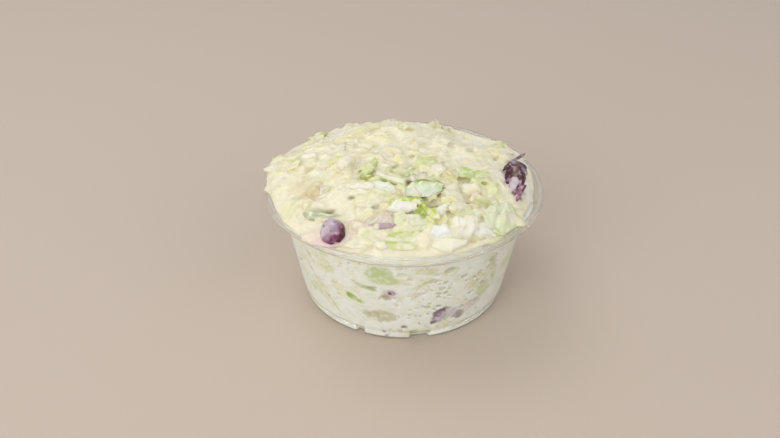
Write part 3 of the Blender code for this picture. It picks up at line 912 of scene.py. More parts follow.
dressedHeap = {
    "voxel": 0.365,
    "kinds": ["leafFlat", "leafWide", "leafCurled", "leafFolded", "shred", "rib", "shredShort", "ribThick"],
    "scatter": {"Spacing": 2.6 * mm, "Density": 200000.0, "Smallest": 0.75, "Largest": 1.2, "Tilt": 0.19},
    "lift": 0.15 * mm,
    "liftSpread": 0.4 * mm,
    "seed": 5,
    "smoothing": 4,
    "creamySmoothing": 14,
    # what reaches further from the axis, or higher above the core, is drawn back by this share
    "furthest": 37.2,
    "highest": 1.1,
    "drawBack": 0.65,
    "evenness": 0.5,
    "surroundings": 6,  # rounds of evening out that a hollow is measured against
    "creamyEdge": (0.1, 0.9),
    "creamyShare": 0.9,
    "creamyCover": 0.6,
    "search": 2.0,  # mm within which a piece tints the dressing
    "coat": (0.10, 0.45),  # mm from a piece's face to where only dressing shows
    # where the dressing is thin: waves, their edge, and how much shows elsewhere
    "thin": (3.6, 61, 2),
    "thinEdge": (0.35, 0.65),
    "leastShown": 0.45,
    "washEdge": (0.5, 1.25),
    "washWaves": (1.8, 63, 1),
    "washWander": 0.3,
    "hollow": (0.02, 0.2),  # mm below its surroundings: where the painted shade of a hollow starts and is full
    "hollowShadeShare": 0.75,
    "creviceLift": 1.2,
    "dressing": "#f7efd3",
    "creviceShade": "#c2b682",
    "tints": [
        "#f6f0d6", "#f3edcc", "#f8f4e0", "#efebc2", "#f4eed4",
        "#ecebc0", "#f3efcf", "#e6e9b8", "#f7f2da", "#efeaba",
    ],
    "edges": [
        "#f3edcf", "#e6e3ae", "#f6f2dc", "#dbde9e", "#eee9c2",
        "#ccd386", "#ebe6b4", "#bfcb78", "#f4efd4", "#e3df92",
    ],
    # tints of juice and leaves in the dressing, and painted shade in holes, hollows and creases: x, y, half
    # width in x and y, tint, strength
    "tintsAndShade": [
        (-18.0, -32.0, 3.6, 2.6, "#f0d6d4", 0.9),
        (-20.5, -29.0, 2.4, 2.4, "#f1e0d2", 0.7),
        (-12.5, -31.5, 2.6, 1.5, "#ecd9ce", 0.7),
        (-22.5, -15.5, 5.0, 3.2, "#dccb9f", 0.75),
        (-26.0, -11.0, 4.0, 3.0, "#e3d7ac", 0.6),
        # painted shade in the holes and hollows at the front; the first two are partly the grey green of a
        # leaf in the hollow
        (-19.6, -23.0, 4.0, 1.8, "#bcc19c", 0.8),
        (-16.2, -24.5, 2.0, 1.1, "#b9bbab", 0.8),
        (-17.2, -21.9, 1.2, 0.6, "#8d7f52", 0.7),
        (-12.2, -19.4, 1.1, 0.8, "#a9985a", 0.8),
        (2.4, -13.2, 1.5, 0.8, "#93824a", 0.95),
        (7.6, -22.4, 3.0, 0.9, "#a3a058", 0.8),
        (16.4, -18.3, 0.8, 0.9, "#a5924f", 0.85),
        (-24.8, -4.2, 1.6, 1.4, "#c9c184", 0.7),
        (-16.9, 7.3, 1.5, 1.0, "#d4da92", 0.8),
        (-30.6, 10.4, 1.6, 1.3, "#d3dc96", 0.7),
        (-29.1, 1.4, 1.4, 1.2, "#d4d994", 0.7),
        (-15.0, 17.1, 3.2, 1.4, "#f3f0a8", 0.8),
        (-25.4, 24.6, 2.4, 1.6, "#b9c763", 0.8),
        (-29.0, 19.6, 2.2, 1.8, "#c9cf86", 0.7),
        (27.0, 18.0, 2.4, 2.0, "#cdd68a", 0.8),
        (18.0, 10.0, 5.0, 3.2, "#e8edcf", 0.7),
        (6.0, -3.5, 3.2, 2.2, "#e6e9a8", 0.6),
        (19.5, -9.5, 3.6, 2.6, "#d9e2a4", 0.6),
        (23.0, -13.0, 3.2, 2.6, "#dfe5ae", 0.6),
        (20.5, -18.5, 3.0, 2.0, "#c9cf8f", 0.6),
        (28.6, -6.0, 3.2, 4.8, "#d6c5cd", 0.75),
        (32.0, -6.0, 1.8, 5.0, "#efe8e0", 0.8),
        (30.2, 1.2, 1.4, 1.8, "#75627a", 0.85),
        (29.4, -1.0, 1.6, 1.2, "#4d3340", 0.85),
        (28.9, -4.0, 1.7, 2.8, "#6d4d44", 0.95),
        (27.3, -4.6, 0.7, 2.2, "#46142a", 0.9),
        (29.9, -5.4, 0.8, 1.6, "#8f6070", 0.85),
        (28.2, -8.0, 1.3, 1.0, "#d3c7cf", 0.9),
        (29.4, -10.6, 0.9, 1.6, "#8a5068", 0.9),
        (30.0, 10.5, 3.0, 3.0, "#f4ede2", 0.8),
        # painted shade along two creases
        (3.0, 5.6, 4.0, 0.7, "#cdc7a0", 0.35),
        (-9.0, 3.4, 3.0, 0.7, "#cdc7a0", 0.35),
    ],
}


coverage = {  # a base value, then what is added: x, y, half width in x and y, how much
    "coated": (0.6, [(6, -14, 20, 14, 0.4), (-26, -25, 7, 5, -0.3), (26, 2, 5, 7, -0.3)]),
    "bare": (0.0, [(5, -11, 17, 11, 1.15), (18, -27, 15, 9, 0.9), (-27, 3, 8, 9, 0.35)]),
    "loose": (0.12, [(6, -9, 15, 10, 1.0)]),
    "leastCoated": 0.06,
    "coatedEdge": (1.8, 0.5),  # mm inside the heap's edge over which the pieces stop
    "looseEdge": (32, 34),
    "clearOfPlaced": (0.5, 1.3),  # in half lengths of a piece placed one by one
}


def coverOf(kind, x, y):
    value, spots = coverage[kind]
    for *spot, amount in spots:
        value = value + amount * bell(x, y, *spot)
    return value


def crowding(x, y):  # 1 where the cut pieces lie thick
    far, near = coverage["coatedEdge"]
    edge = heapEdge(np.degrees(np.arctan2(x, -y)))
    inside = 1 - smoothStep(edge - far, edge - near, np.hypot(x, y))
    return np.clip(coverOf("coated", x, y), coverage["leastCoated"], 1) * inside


def creaminess(x, y):  # 1 where the dressing lies thick and smooth: at the back, the left and front left
    return 1 - np.clip(coverOf("bare", x, y), 0, 1)


def looseCrowding(x, y):  # loose pieces show in the middle, and leave the listed ones clear
    thick = coverOf("loose", x, y)
    low, high = coverage["clearOfPlaced"]
    placed = [(p[0], p[2][0]) for p in list(bigLeaves.values()) + list(redPieces.values())]
    for where, half in placed + [(redLump["where"], redLump["radii"][0])]:
        away = np.hypot(x - where[0], y - where[1])
        thick = thick * smoothStep(low * half, high * half, away)
    return np.clip(thick, 0, 1) * (1 - smoothStep(*coverage["looseEdge"], np.hypot(x, y)))


def relaxed(values, edges, weight, times):  # evens out values over the mesh
    count = len(values)
    degree = np.bincount(edges.ravel(), minlength=count)[:, None]
    for _ in range(times):
        total = np.zeros_like(values)
        for axis in range(values.shape[1]):
            total[:, axis] = np.bincount(edges[:, 0], values[edges[:, 1], axis], count)
            total[:, axis] += np.bincount(edges[:, 1], values[edges[:, 0], axis], count)
        values = values + (total / np.maximum(degree, 1) - values) * weight
    return values


def cutBelow(piece, height):  # removes what lies below, and closes the bottom with a fan
    bm = bmesh.new()
    bm.from_mesh(piece.data)
    geometry = bm.verts[:] + bm.edges[:] + bm.faces[:]
    bmesh.ops.bisect_plane(bm, geom=geometry, plane_co=(0, 0, height), plane_no=(0, 0, -1), clear_outer=True)
    border = [e for e in bm.edges if e.is_boundary]
    centre = bm.verts.new((0, 0, height))
    for edge in border:
        bm.faces.new((edge.verts[0], edge.verts[1], centre))
    bmesh.ops.recalc_face_normals(bm, faces=bm.faces[:])
    bm.to_mesh(piece.data)
    bm.free()


def keepLargestBody(piece):  # drops the specks that the merge leaves loose
    bm = bmesh.new()
    bm.from_mesh(piece.data)
    unseen = set(bm.verts)
    bodies = []
    while unseen:
        queue = [unseen.pop()]
        body = list(queue)
        while queue:
            vertex = queue.pop()
            for edge in vertex.link_edges:
                other = edge.other_vert(vertex)
                if other in unseen:
                    unseen.discard(other)
                    queue.append(other)
                    body.append(other)
        bodies.append(body)
    bodies.sort(key=len)
    bmesh.ops.delete(bm, geom=[v for body in bodies[:-1] for v in body], context="VERTS")
    bm.to_mesh(piece.data)
    bm.free()


def merged(name, pieces):
    bm = bmesh.new()
    for piece in pieces:
        bm.from_mesh(piece.data)
    mesh = bpy.data.meshes.new(name)
    bm.to_mesh(mesh)
    bm.free()
    return addObject(name, mesh)


def besideLeaves(spots, pieces):  # how far the nearest piece is from each point, in mm, and its tone there
    corners = np.vstack([pointsOf(piece) for piece in pieces]) / mm
    tones = np.vstack([coloursOf(piece, "leafColour") for piece in pieces])
    faces = []
    start = 0
    for piece in pieces:
        faces += [tuple(i + start for i in face.vertices) for face in piece.data.polygons]
        start += len(piece.data.vertices)
    nearby = BVHTree.FromPolygons([Vector(corner) for corner in corners], faces)
    away = np.full(len(spots), np.inf)
    leaf = np.ones((len(spots), 3))
    for i, spot in enumerate(spots):
        place, _, face, distance = nearby.find_nearest(Vector(spot), dressedHeap["search"])
        if place is not None:
            away[i] = distance
            leaf[i] = tones[list(faces[face])].mean(0)
    return away, leaf


def makeDressedHeap(core, pieces):
    s = dressedHeap
    piece = merged("dressedHeap", [core, *pieces])
    remesh = piece.modifiers.new("Merge", "REMESH")
    remesh.mode = "VOXEL"
    remesh.voxel_size = s["voxel"] * mm
    bakedCopy(piece)
    cutBelow(piece, (cupShape["ledge"][1] - 0.2) * mm)
    keepLargestBody(piece)
    spots = pointsOf(piece) / mm
    edges = edgesOf(piece)
    away, leaf = besideLeaves(spots, pieces)
    creamy = creaminess(spots[:, 0], spots[:, 1])
    smooth = relaxed(spots, edges, s["evenness"], s["smoothing"])
    softer = relaxed(smooth, edges, s["evenness"], s["creamySmoothing"])
    share = smoothStep(*s["creamyEdge"], creamy)[:, None] * s["creamyShare"]
    smooth = smooth * (1 - share) + softer * share
    radius = np.hypot(smooth[:, 0], smooth[:, 1])
    beyond = (radius - s["furthest"]).clip(0) * s["drawBack"]
    smooth[:, :2] *= (1 - beyond / radius.clip(1))[:, None]
    above = smooth[:, 2] - heapTop(smooth[:, 0], smooth[:, 1]) - s["highest"]
    smooth[:, 2] -= np.where(radius < s["furthest"], above.clip(0) * s["drawBack"], 0)
    # painted shade: hollows grow darker and deeper in tone the further they sink below their surroundings
    broad = relaxed(smooth, edges, s["evenness"], s["surroundings"])
    piece.data.vertices.foreach_set("co", (smooth * mm).ravel())
    piece.data.update()
    hollow = ((broad - smooth) * normalsOf(piece)).sum(1)
    x, y, z = smooth.T
    thin = smoothStep(*s["thinEdge"], waves(x, y, z, *s["thin"]) * 0.5 + 0.5)
    shown = s["leastShown"] + (1 - s["leastShown"]) * thin
    bare = (1 - smoothStep(*s["coat"], away)) * shown
    bare = (bare * (1 - s["creamyCover"] * share[:, 0]))[:, None]
    colour = toneOf(s["dressing"]) * (1 - bare) + leaf * bare
    wander = s["washWander"] * waves(x, y, z, *s["washWaves"])
    for middleX, middleY, halfX, halfY, tint, strength in s["tintsAndShade"]:
        d = np.hypot((x - middleX) / halfX, (y - middleY) / halfY) + wander
        colour = blended(colour, tint, ((1 - smoothStep(*s["washEdge"], d)) * strength)[:, None])
    # painted shade in hollows and creases
    deep = smoothStep(*s["hollow"], hollow)[:, None] * s["hollowShadeShare"]
    colour = colour * (1 - deep) + colour * toneOf(s["creviceShade"]) * s["creviceLift"] * deep
    paint(piece, "slawColour", relaxed(colour, edges, s["evenness"], 1))
    piece.data.materials.clear()
    piece.data.materials.append(dressedCabbage())
    piece.data.shade_smooth()
    print("dressed heap triangles:", sum(len(p.vertices) - 2 for p in piece.data.polygons))
    return piece


def drawnIn(piece, depth, wander, seed):  # shrinks a piece unevenly, so that dressing covers parts of it
    spots = pointsOf(piece)
    x, y, z = spots.T / mm
    amount = (depth + wander * waves(x, y, z, 2.0, seed, 1)) * mm
    piece.data.vertices.foreach_set("co", (spots - normalsOf(piece) * amount[:, None]).ravel())
    piece.data.update()


dressedFinish = {
    "Roughness": 0.36,
    "IOR": 1.42,
    "Subsurface Weight": 0.5,
    "Subsurface Radius": (1.0, 0.85, 0.45),
    "Subsurface Scale": 0.9 * mm,
}
cutFinish = {
    "IOR": 1.42,
    "Subsurface Weight": 0.4,
    "Subsurface Radius": (0.8, 0.9, 0.4),
    "Subsurface Scale": 0.6 * mm,
}


def dressedCabbage():  # chopped cabbage under a thin egg dressing: soft, wet, light goes a little way in
    material, tree, shader = newMaterial("dressedCabbage", dressedFinish)
    tone = addNode(tree, "ShaderNodeAttribute", {"attribute_name": "slawColour"})
    fibre = addNoise(tree, 0.9, 3.0)
    reach = {"From Min": 0.3, "From Max": 0.7, "To Min": 0.93, "To Max": 1.05}
    uneven = addNode(tree, "ShaderNodeMapRange", reach, {"Value": fibre.outputs["Fac"]})
    parts = {0: tone.outputs["Color"], "Scale": uneven.outputs[0]}
    toned = addNode(tree, "ShaderNodeVectorMath", {"operation": "SCALE"}, parts)
    tree.links.new(toned.outputs[0], shader.inputs["Base Color"])
    addBump(tree, shader, fibre, 0.5, 0.12)
    return material


def cutCabbage(name, coating, coatShare, gloss):  # a cut leaf: waxy, with dressing clinging to parts of it
    material, tree, shader = newMaterial(name, {"Roughness": gloss, **cutFinish})
    tone = addNode(tree, "ShaderNodeAttribute", {"attribute_name": "leafColour"})
    blotch = addNoise(tree, 1.9, 2.0)
    reach = {"From Min": 0.62 - coatShare * 0.3, "From Max": 0.74 - coatShare * 0.3}
    coated = addNode(tree, "ShaderNodeMapRange", reach, {"Value": blotch.outputs["Fac"]})
    settings = {"data_type": "RGBA", 7: linearColour(coating)}
    mix = addNode(tree, "ShaderNodeMix", settings, {0: coated.outputs[0], 6: tone.outputs["Color"]})
    tree.links.new(mix.outputs[2], shader.inputs["Base Color"])
    addBump(tree, shader, blotch, 0.4, 0.15)
    return material


looseLeaf = {
    "seed": 77,
    "kinds": ["leafFlat", "leafCurled", "leafFolded", "leafWide", "scrap", "rib"],
    "scatter": {"Spacing": 4.6 * mm, "Density": 200000.0, "Smallest": 0.6, "Largest": 1.0, "Tilt": 0.16},
    "lift": 0.45 * mm,
    "liftSpread": 0.25 * mm,
    "tints": ["#f6f1dc", "#f1edcc", "#f4eeda", "#ebebc2", "#f8f5e6", "#e8e9bc", "#f2ecce", "#f5efd4"],
    "edges": ["#f1eed0", "#e3e4ac", "#efebcd", "#dbe09e", "#f0edd3", "#d0da90", "#e9e5b4", "#ebe8c2"],
}

greenLeaf = {
    "seed": 91,
    "kinds": ["leafCurled", "shred", "scrap"],
    "scatter": {"Spacing": 7.0 * mm, "Density": 60000.0, "Smallest": 0.45, "Largest": 0.8, "Tilt": 0.2},
    "lift": 0.5 * mm,
    "liftSpread": 0.2 * mm,
    "tints": ["#e2e8b2", "#dbe3a2", "#ebecc0", "#dfe5ac", "#d3dd96"],
    "edges": ["#bdcf74", "#c5d37c", "#d2db90", "#b3c766", "#c2d078"],
}


cutEdgeLook = {"tint": "#b3ad6c", "starts": 0.86, "darkest": 0.6, "palest": -0.25, "paleShare": 0.45}


def paintLeaf(piece, settings, seed):  # each piece takes one tint, deeper towards one long edge
    s = cutEdgeLook
    tint = valuesOf(piece, "tint")
    across = valuesOf(piece, "across")
    along = valuesOf(piece, "along")
    spots = pointsOf(piece) / mm
    count = len(settings["tints"])
    index = (tint * count).astype(int) % count
    base = np.array([toneOf(h) for h in settings["tints"]])[index]
    edge = np.array([toneOf(h) for h in settings["edges"]])[index]
    side = np.where((tint * 97) % 1 > 0.5, 1, -1)
    share = smoothStep(0.1, 1.0, across * side + 0.25 * along)
    share = share * (0.6 + 0.4 * waves(*spots.T, 1.8, seed, 1))
    colour = base * (1 - share[:, None]) + edge * share[:, None]
    # some cut edges look darker, some paler
    cutEdge = smoothStep(s["starts"], 1.0, np.maximum(np.abs(along), np.abs(across)))
    cutEdge = cutEdge * np.where((tint * 53) % 1 > s["paleShare"], s["darkest"], s["palest"])
    colour = colour * (1 - cutEdge[:, None] * (1 - toneOf(s["tint"])))
    paint(piece, "leafColour", colour.clip(0, 1))


def makeScattered(name, settings, shapeSeed, core, tree, material):
    seed = settings["seed"]
    shapes = makeShapeSet(name + "Shape", settings["kinds"], shapeSeed)
    values = dict(settings["scatter"])
    values.update({"Shapes": shapes, "Seed": seed, "Material": material})
    values.update({"Lift": settings["lift"], "Lift Spread": settings["liftSpread"]})
    piece = scatter(name, core, tree, values)
    dropShapeSet(shapes)
    paintLeaf(piece, settings, seed)
    print(name, "faces:", len(piece.data.polygons))
    return piece


# where: x, y and height above the core; turns in degrees about x, y and z; shape: half length, half width,
# thickness, bend, cup, curl, sweep; then the tint, the edge's tint, which long edge it is, and the seed
bigLeaves = {
    "mintLeaf": (
        (5.2, -17.6, 1.5), (14, -4, 8), (4.6, 2.5, 0.6, -0.06, 0.10, 0.10, 0.0),
        "#e3ecd2", "#9db65a", 1, 5,
    ),
    "mintLeafEdge": (
        (7.8, -15.4, 1.8), (34, 0, -20), (2.4, 0.9, 0.7, -0.1, 0.2, 0.1, -0.2),
        "#b5cb70", "#8fae45", 1, 6,
    ),
    "bandTop": (
        (1.0, -23.2, 2.3), (30, 0, 0), (4.3, 1.1, 0.8, -0.04, -0.1, 0.05, 0.0),
        "#c6d765", "#b4cb50", 1, 9,
    ),
    "bandFace": (
        (0.6, -24.7, 1.6), (60, 0, 2), (3.7, 1.5, 0.7, -0.04, -0.1, 0.05, 0.0),
        "#f8f8ee", "#f1f3dc", 1, 10,
    ),
    "curlTip": (
        (5.9, -25.4, 1.8), (48, 10, -46), (3.4, 1.5, 0.6, -0.24, 0.3, 0.1, 0.15),
        "#d0da6c", "#b9cd45", 1, 14,
    ),
    "curlInside": (
        (4.6, -25.6, 1.8), (44, 10, -60), (2.1, 0.8, 0.5, -0.1, 0.2, 0.1, 0.1),
        "#9fb04c", "#a9ba52", 1, 15,
    ),
    "stripedLeaf": (
        (2.6, -27.8, 1.1), (44, 0, -2), (5.4, 1.9, 0.6, -0.06, -0.1, 0.0, 0.0),
        "#e6e9c8", "#d9dca6", -1, 16,
    ),
    "ribChunk": (
        (9.6, -24.2, 1.2), (4, -8, 44), (3.0, 1.1, 1.5, -0.1, -0.1, 0.0, 0.0),
        "#fbf9ec", "#f1efd2", 1, 21,
    ),
    "ribChunkRight": (
        (13.6, -21.6, 1.2), (20, 10, 62), (3.4, 1.6, 1.2, -0.12, 0.1, 0.1, 0.1),
        "#f5efd8", "#eee7b8", 1, 22,
    ),
    "creamRib": (
        (16.6, -14.2, 1.3), (4, -4, 6), (2.7, 1.7, 2.1, -0.15, -0.25, 0.0, 0.0),
        "#f8f0d8", "#f3ebcb", -1, 23,
    ),
    "brightTip": (
        (17.2, -18.2, 1.6), (20, 0, 70), (1.0, 0.5, 0.5, -0.1, 0.1, 0.0, 0.0),
        "#f8f7d2", "#f6f3c6", 1, 24,
    ),
    "paleOval": (
        (6.0, -3.5, 1.0), (6, 4, 10), (3.4, 2.5, 0.6, -0.1, -0.12, 0.0, 0.0),
        "#e3e8a8", "#d5dd92", -1, 25,
    ),
    "crescent": (
        (-16.8, -3.8, 1.5), (22, 0, 28), (2.9, 0.9, 0.9, -0.1, -0.1, 0.0, -0.32),
        "#eaeaa0", "#dbe07c", 1, 27,
    ),
    "creamMound": (
        (-14.8, -6.6, 1.3), (0, 0, 15), (2.2, 2.0, 2.0, -0.15, -0.3, 0.0, 0.0),
        "#f6eed6", "#f3ead0", 1, 28,
    ),
    "greenStrip": (
        (-8.6, -7.3, 1.3), (16, -6, 66), (4.3, 1.1, 0.8, -0.10, -0.1, 0.1, 0.05),
        "#e1e8ac", "#cbda88", -1, 33,
    ),
    "oliveStub": (
        (-9.4, -12.2, 1.2), (0, 0, 14), (2.0, 0.7, 0.7, 0.0, 0.1, 0.1, 0.0),
        "#b7bb5a", "#9d9f45", 1, 34,
    ),
    "whiteShred": (
        (-3.0, -13.6, 1.5), (8, 0, -32), (4.4, 0.8, 0.8, -0.06, -0.1, 0.0, 0.08),
        "#fbf8ea", "#e3e7b2", -1, 35,
    ),
    "whiteLeaf": (
        (-9.8, -15.6, 1.2), (12, -4, -8), (3.4, 1.2, 0.8, -0.08, -0.1, 0.0, 0.0),
        "#faf5e4", "#f4efd8", -1, 36,
    ),
    "mintSlip": (
        (-4.6, -16.2, 1.3), (10, 4, -20), (3.0, 1.3, 0.6, -0.08, 0.1, 0.0, 0.0),
        "#f0f5e6", "#e4ebcf", 1, 37,
    ),
    "hoodLeaf": (
        (-7.2, -21.4, 1.2), (26, 4, 6), (4.2, 2.2, 0.6, -0.14, -0.20, 0.05, 0.0),
        "#f3eecb", "#eef0ae", 1, 38,
    ),
    "greenRight": (
        (15.6, -8.4, 1.2), (14, 6, -10), (2.3, 1.7, 0.6, -0.1, 0.2, 0.1, 0.0),
        "#cfdd9c", "#b6cc70", 1, 39,
    ),
    "greenRightFar": (
        (19.6, -7.8, 1.1), (10, 12, -8), (2.1, 1.8, 0.6, -0.1, 0.2, 0.1, 0.0),
        "#dbe4a6", "#c3d57a", 1, 40,
    ),
    "frontGreenLow": (
        (0.6, -33.2, 0.5), (40, 0, 4), (4.2, 1.2, 0.9, -0.05, -0.1, 0.0, 0.0),
        "#e3e8ae", "#c6d379", 1, 61,
    ),
    "frontStrip": (
        (2.2, -30.8, 1.0), (46, 0, 8), (5.2, 1.0, 0.7, -0.05, 0.1, 0.0, 0.0),
        "#d9e2a2", "#c3d16c", 1, 41,
    ),
    "frontRight": (
        (24.2, -21.4, 0.9), (22, 14, 34), (6.0, 4.2, 0.9, -0.14, -0.16, 0.05, 0.0),
        "#ecf0cd", "#e3ebb6", -1, 42,
    ),
    "frontRightLow": (
        (20.4, -26.4, 0.8), (34, 12, 36), (4.6, 2.2, 1.0, -0.1, -0.2, 0.1, 0.0),
        "#f8f8ea", "#eef1cf", -1, 44,
    ),
    "frontMass": (
        (15.2, -27.6, 0.7), (30, 6, 14), (3.6, 2.7, 2.6, -0.16, -0.2, 0.1, 0.0),
        "#faf6e6", "#f4f0d4", 1, 45,
    ),
    "frontMassLow": (
        (11.6, -32.0, 0.6), (34, 0, 10), (3.8, 1.7, 1.4, -0.1, -0.2, 0.1, 0.0),
        "#f8f4de", "#e9ecc0", 1, 47,
    ),
    "whiteFlake": (
        (9.6, -29.6, 1.1), (50, 8, 6), (2.4, 1.8, 0.7, -0.05, -0.1, 0.1, 0.0),
        "#fdfdf8", "#f2f3e6", 1, 46,
    ),
    "frontBlob": (
        (-4.2, -33.0, 0.6), (30, 0, -4), (1.9, 1.2, 1.3, -0.1, -0.2, 0.1, 0.0),
        "#f5f2cf", "#e6e6a8", 1, 54,
    ),
    "frontSlip": (
        (-9.8, -32.6, 0.5), (34, 0, -14), (3.4, 1.5, 0.8, -0.1, -0.1, 0.1, 0.0),
        "#f5f1d2", "#e8e6b4", 1, 55,
    ),
    "leftTip": (
        (-34.8, 2.6, 0.5), (6, -10, 14), (3.2, 1.7, 0.7, -0.08, -0.1, 0.1, 0.0),
        "#f5f0da", "#e9e6bd", 1, 62,
    ),
    "backLeft": (
        (-25.6, 23.6, 0.9), (16, -20, -42), (3.0, 0.9, 0.7, -0.1, 0.1, 0.1, 0.0),
        "#cddb84", "#b3c958", 1, 48,
    ),
    "backLeftBlob": (
        (-25.6, 2.2, 1.0), (0, -10, 10), (2.0, 1.7, 1.4, -0.15, -0.3, 0.0, 0.0),
        "#faf5e0", "#f5efd6", 1, 49,
    ),
    "backBlob": (
        (-10.5, 5.3, 1.0), (0, 0, 0), (1.9, 1.2, 1.1, -0.15, -0.3, 0.0, 0.0),
        "#f3efd0", "#e2deb0", 1, 50,
    ),
    "backRight": (
        (27.0, 18.0, 0.9), (10, 20, 30), (1.8, 1.0, 0.7, -0.1, 0.1, 0.1, 0.0),
        "#d7e09a", "#c3d272", 1, 51,
    ),
    "oliveEdge": (
        (-19.8, -24.2, 0.1), (30, 4, -8), (3.6, 1.5, 0.6, 0.0, 0.1, 0.1, 0.0),
        "#cdd1b0", "#aeb784", -1, 53,
    ),
    "petal": (
        (-4.8, -27.8, 1.3), (44, -10, 6), (3.3, 2.2, 0.6, 0.05, 0.20, -0.1, 0.0),
        "#e2d6c8", "#e0d3b4", 1, 57,
    ),
    "petalShade": (
        (-4.2, -29.3, 1.3), (50, -6, 0), (2.8, 0.7, 0.5, 0.05, 0.1, 0.0, 0.0),
        "#bfa9ae", "#b39ba5", -1, 58,
    ),
    "petalBack": (
        (-9.4, -29.2, 0.9), (42, 12, -10), (2.6, 1.3, 0.5, -0.05, 0.1, 0.1, 0.0),
        "#ecdfcb", "#dccbbb", 1, 59,
    ),
}

redPieces = {
    "vEdge": (
        (29.4, 4.4, 1.4), (10, 8, 62), (8.4, 0.35, 0.6, -0.04, 0.1, 0.0, -0.04),
        "#6a5866", "#43333e", 1, 66,
    ),
    "arc": (
        (30.3, 1.2, 1.5), (30, 14, -40), (2.8, 1.0, 0.7, -0.20, -0.3, 0.0, -0.30),
        "#85768a", "#2f1c2b", 0, 68,
    ),
    "arcShade": (
        (29.4, -0.4, 1.5), (20, 16, -42), (2.8, 0.5, 0.6, -0.15, -0.1, 0.0, -0.30),
        "#3c1f33", "#4c2c42", 1, 69,
    ),
    "cupInside": (
        (28.9, -3.8, 1.3), (-6, -26, 82), (3.6, 1.9, 0.6, 0.05, 0.35, 0.0, 0.0),
        "#7d5c51", "#4c1c2f", 0, 71,
    ),
    "cupPink": (
        (29.7, -5.0, 1.6), (-6, -26, 80), (2.0, 0.8, 0.5, 0.05, 0.3, 0.0, 0.0),
        "#946573", "#7b4a5c", 0, 76,
    ),
    "cupDark": (
        (27.1, -4.2, 1.6), (0, -20, 84), (3.2, 0.7, 0.5, -0.05, 0.2, 0.0, 0.0),
        "#4a1226", "#5d2c40", 1, 72,
    ),
    "cupRight": (
        (30.9, -4.4, 1.5), (0, -26, 70), (3.0, 0.35, 0.6, -0.1, 0.1, 0.0, 0.2),
        "#6b3f50", "#4f2a3c", 1, 73,
    ),
    "lilacFilm": (
        (28.2, -7.6, 1.5), (0, -20, 72), (2.4, 1.2, 0.6, -0.1, -0.1, 0.0, 0.0),
        "#d6c9d1", "#a98d9d", 1, 74,
    ),
    "smallOval": (
        (29.4, -10.4, 1.3), (6, -24, 60), (2.6, 1.0, 0.7, -0.06, 0.3, 0.0, 0.0),
        "#a4697f", "#56273c", 0, 75,
    ),
}


redLump = {  # an egg of red cabbage: filmed with dressing at its upper left, deep purple at its lower right, where painted shade darkens it further
    "where": (-15.8, -29.7, 0.8),
    "radii": (2.9, 3.3, 3.3),
    "turn": 24,
    "uneven": 0.10,
    "cells": (52, 36),
    "grain": 3.0,
    "blotch": 0.35,
    "shadedSide": (0.72, -0.36, -0.60),
    "film": "#cabac6",
    # towards the shaded side, its own deep purple and then painted shade: tint, where it starts and is full
    "tones": [
        ("#b093a5", -0.6, -0.2),
        ("#8f5875", -0.1, 0.2),
        ("#601d40", 0.3, 0.5),
        ("#3a0620", 0.6, 0.8),
    ],
    # flecks: tint, seed, size, where they start and are full, strength
    "flecks": [("#5a1c3c", 83, 0.9, 0.40, 0.52, 0.9), ("#b98da2", 84, 1.2, 0.38, 0.6, 0.6)],
}


def makeRedLump(surface, material):
    s = redLump
    bm = bmesh.new()
    bmesh.ops.create_uvsphere(bm, u_segments=s["cells"][0], v_segments=s["cells"][1], radius=1.0)
    unit = np.array([tuple(v.co) for v in bm.verts])
    folds = waves(*(unit.T * s["grain"]), 2.6, 81, 2)
    body = unit * np.array(s["radii"]) * (1 + s["uneven"] * folds)[:, None]
    turning = np.array(Matrix.Rotation(math.radians(s["turn"]), 3, "Z"))
    hit = surface.ray_cast(Vector((*s["where"][:2], 80)), Vector((0, 0, -1)))
    body = body @ turning.T + np.array([*s["where"][:2], hit[0].z + s["where"][2]])
    # painted shade: darker towards the lower right, away from the lamps
    towardShade = (unit @ turning.T) @ np.array(s["shadedSide"])
    towardShade = towardShade + s["blotch"] * waves(*(unit.T * s["grain"]), 2.0, 82, 2)
    colour = np.tile(toneOf(s["film"]), (len(unit), 1))
    for tint, low, high in s["tones"]:
        colour = blended(colour, tint, smoothStep(low, high, towardShade)[:, None])
    for tint, seed, size, low, high, strength in s["flecks"]:
        fleck = waves(*(unit.T * s["grain"]), size, seed, 2)
        colour = blended(colour, tint, smoothStep(low, high, fleck)[:, None] * strength)
    for vertex, place in zip(bm.verts, body):
        vertex.co = place * mm
    mesh = bpy.data.meshes.new("redLump")
    bm.to_mesh(mesh)
    bm.free()
    mesh.materials.append(material)
    mesh.shade_smooth()
    piece = addObject("redLump", mesh)
    paint(piece, "leafColour", colour)
    return piece


# looks of the pieces placed one by one: the film is dressing, the stain is the edge's tint
leafFinish = {"cells": (20, 12), "mottleSize": 2.4, "film": 0.45, "filmTint": "#f6f0da", "stain": 0.25}
redFinish = {"cells": (24, 14), "mottleSize": 1.5, "film": 0.4, "filmTint": "#d5c3ce", "stain": 0.4}
placedSkew, placedCrinkle = 0.26, 0.22


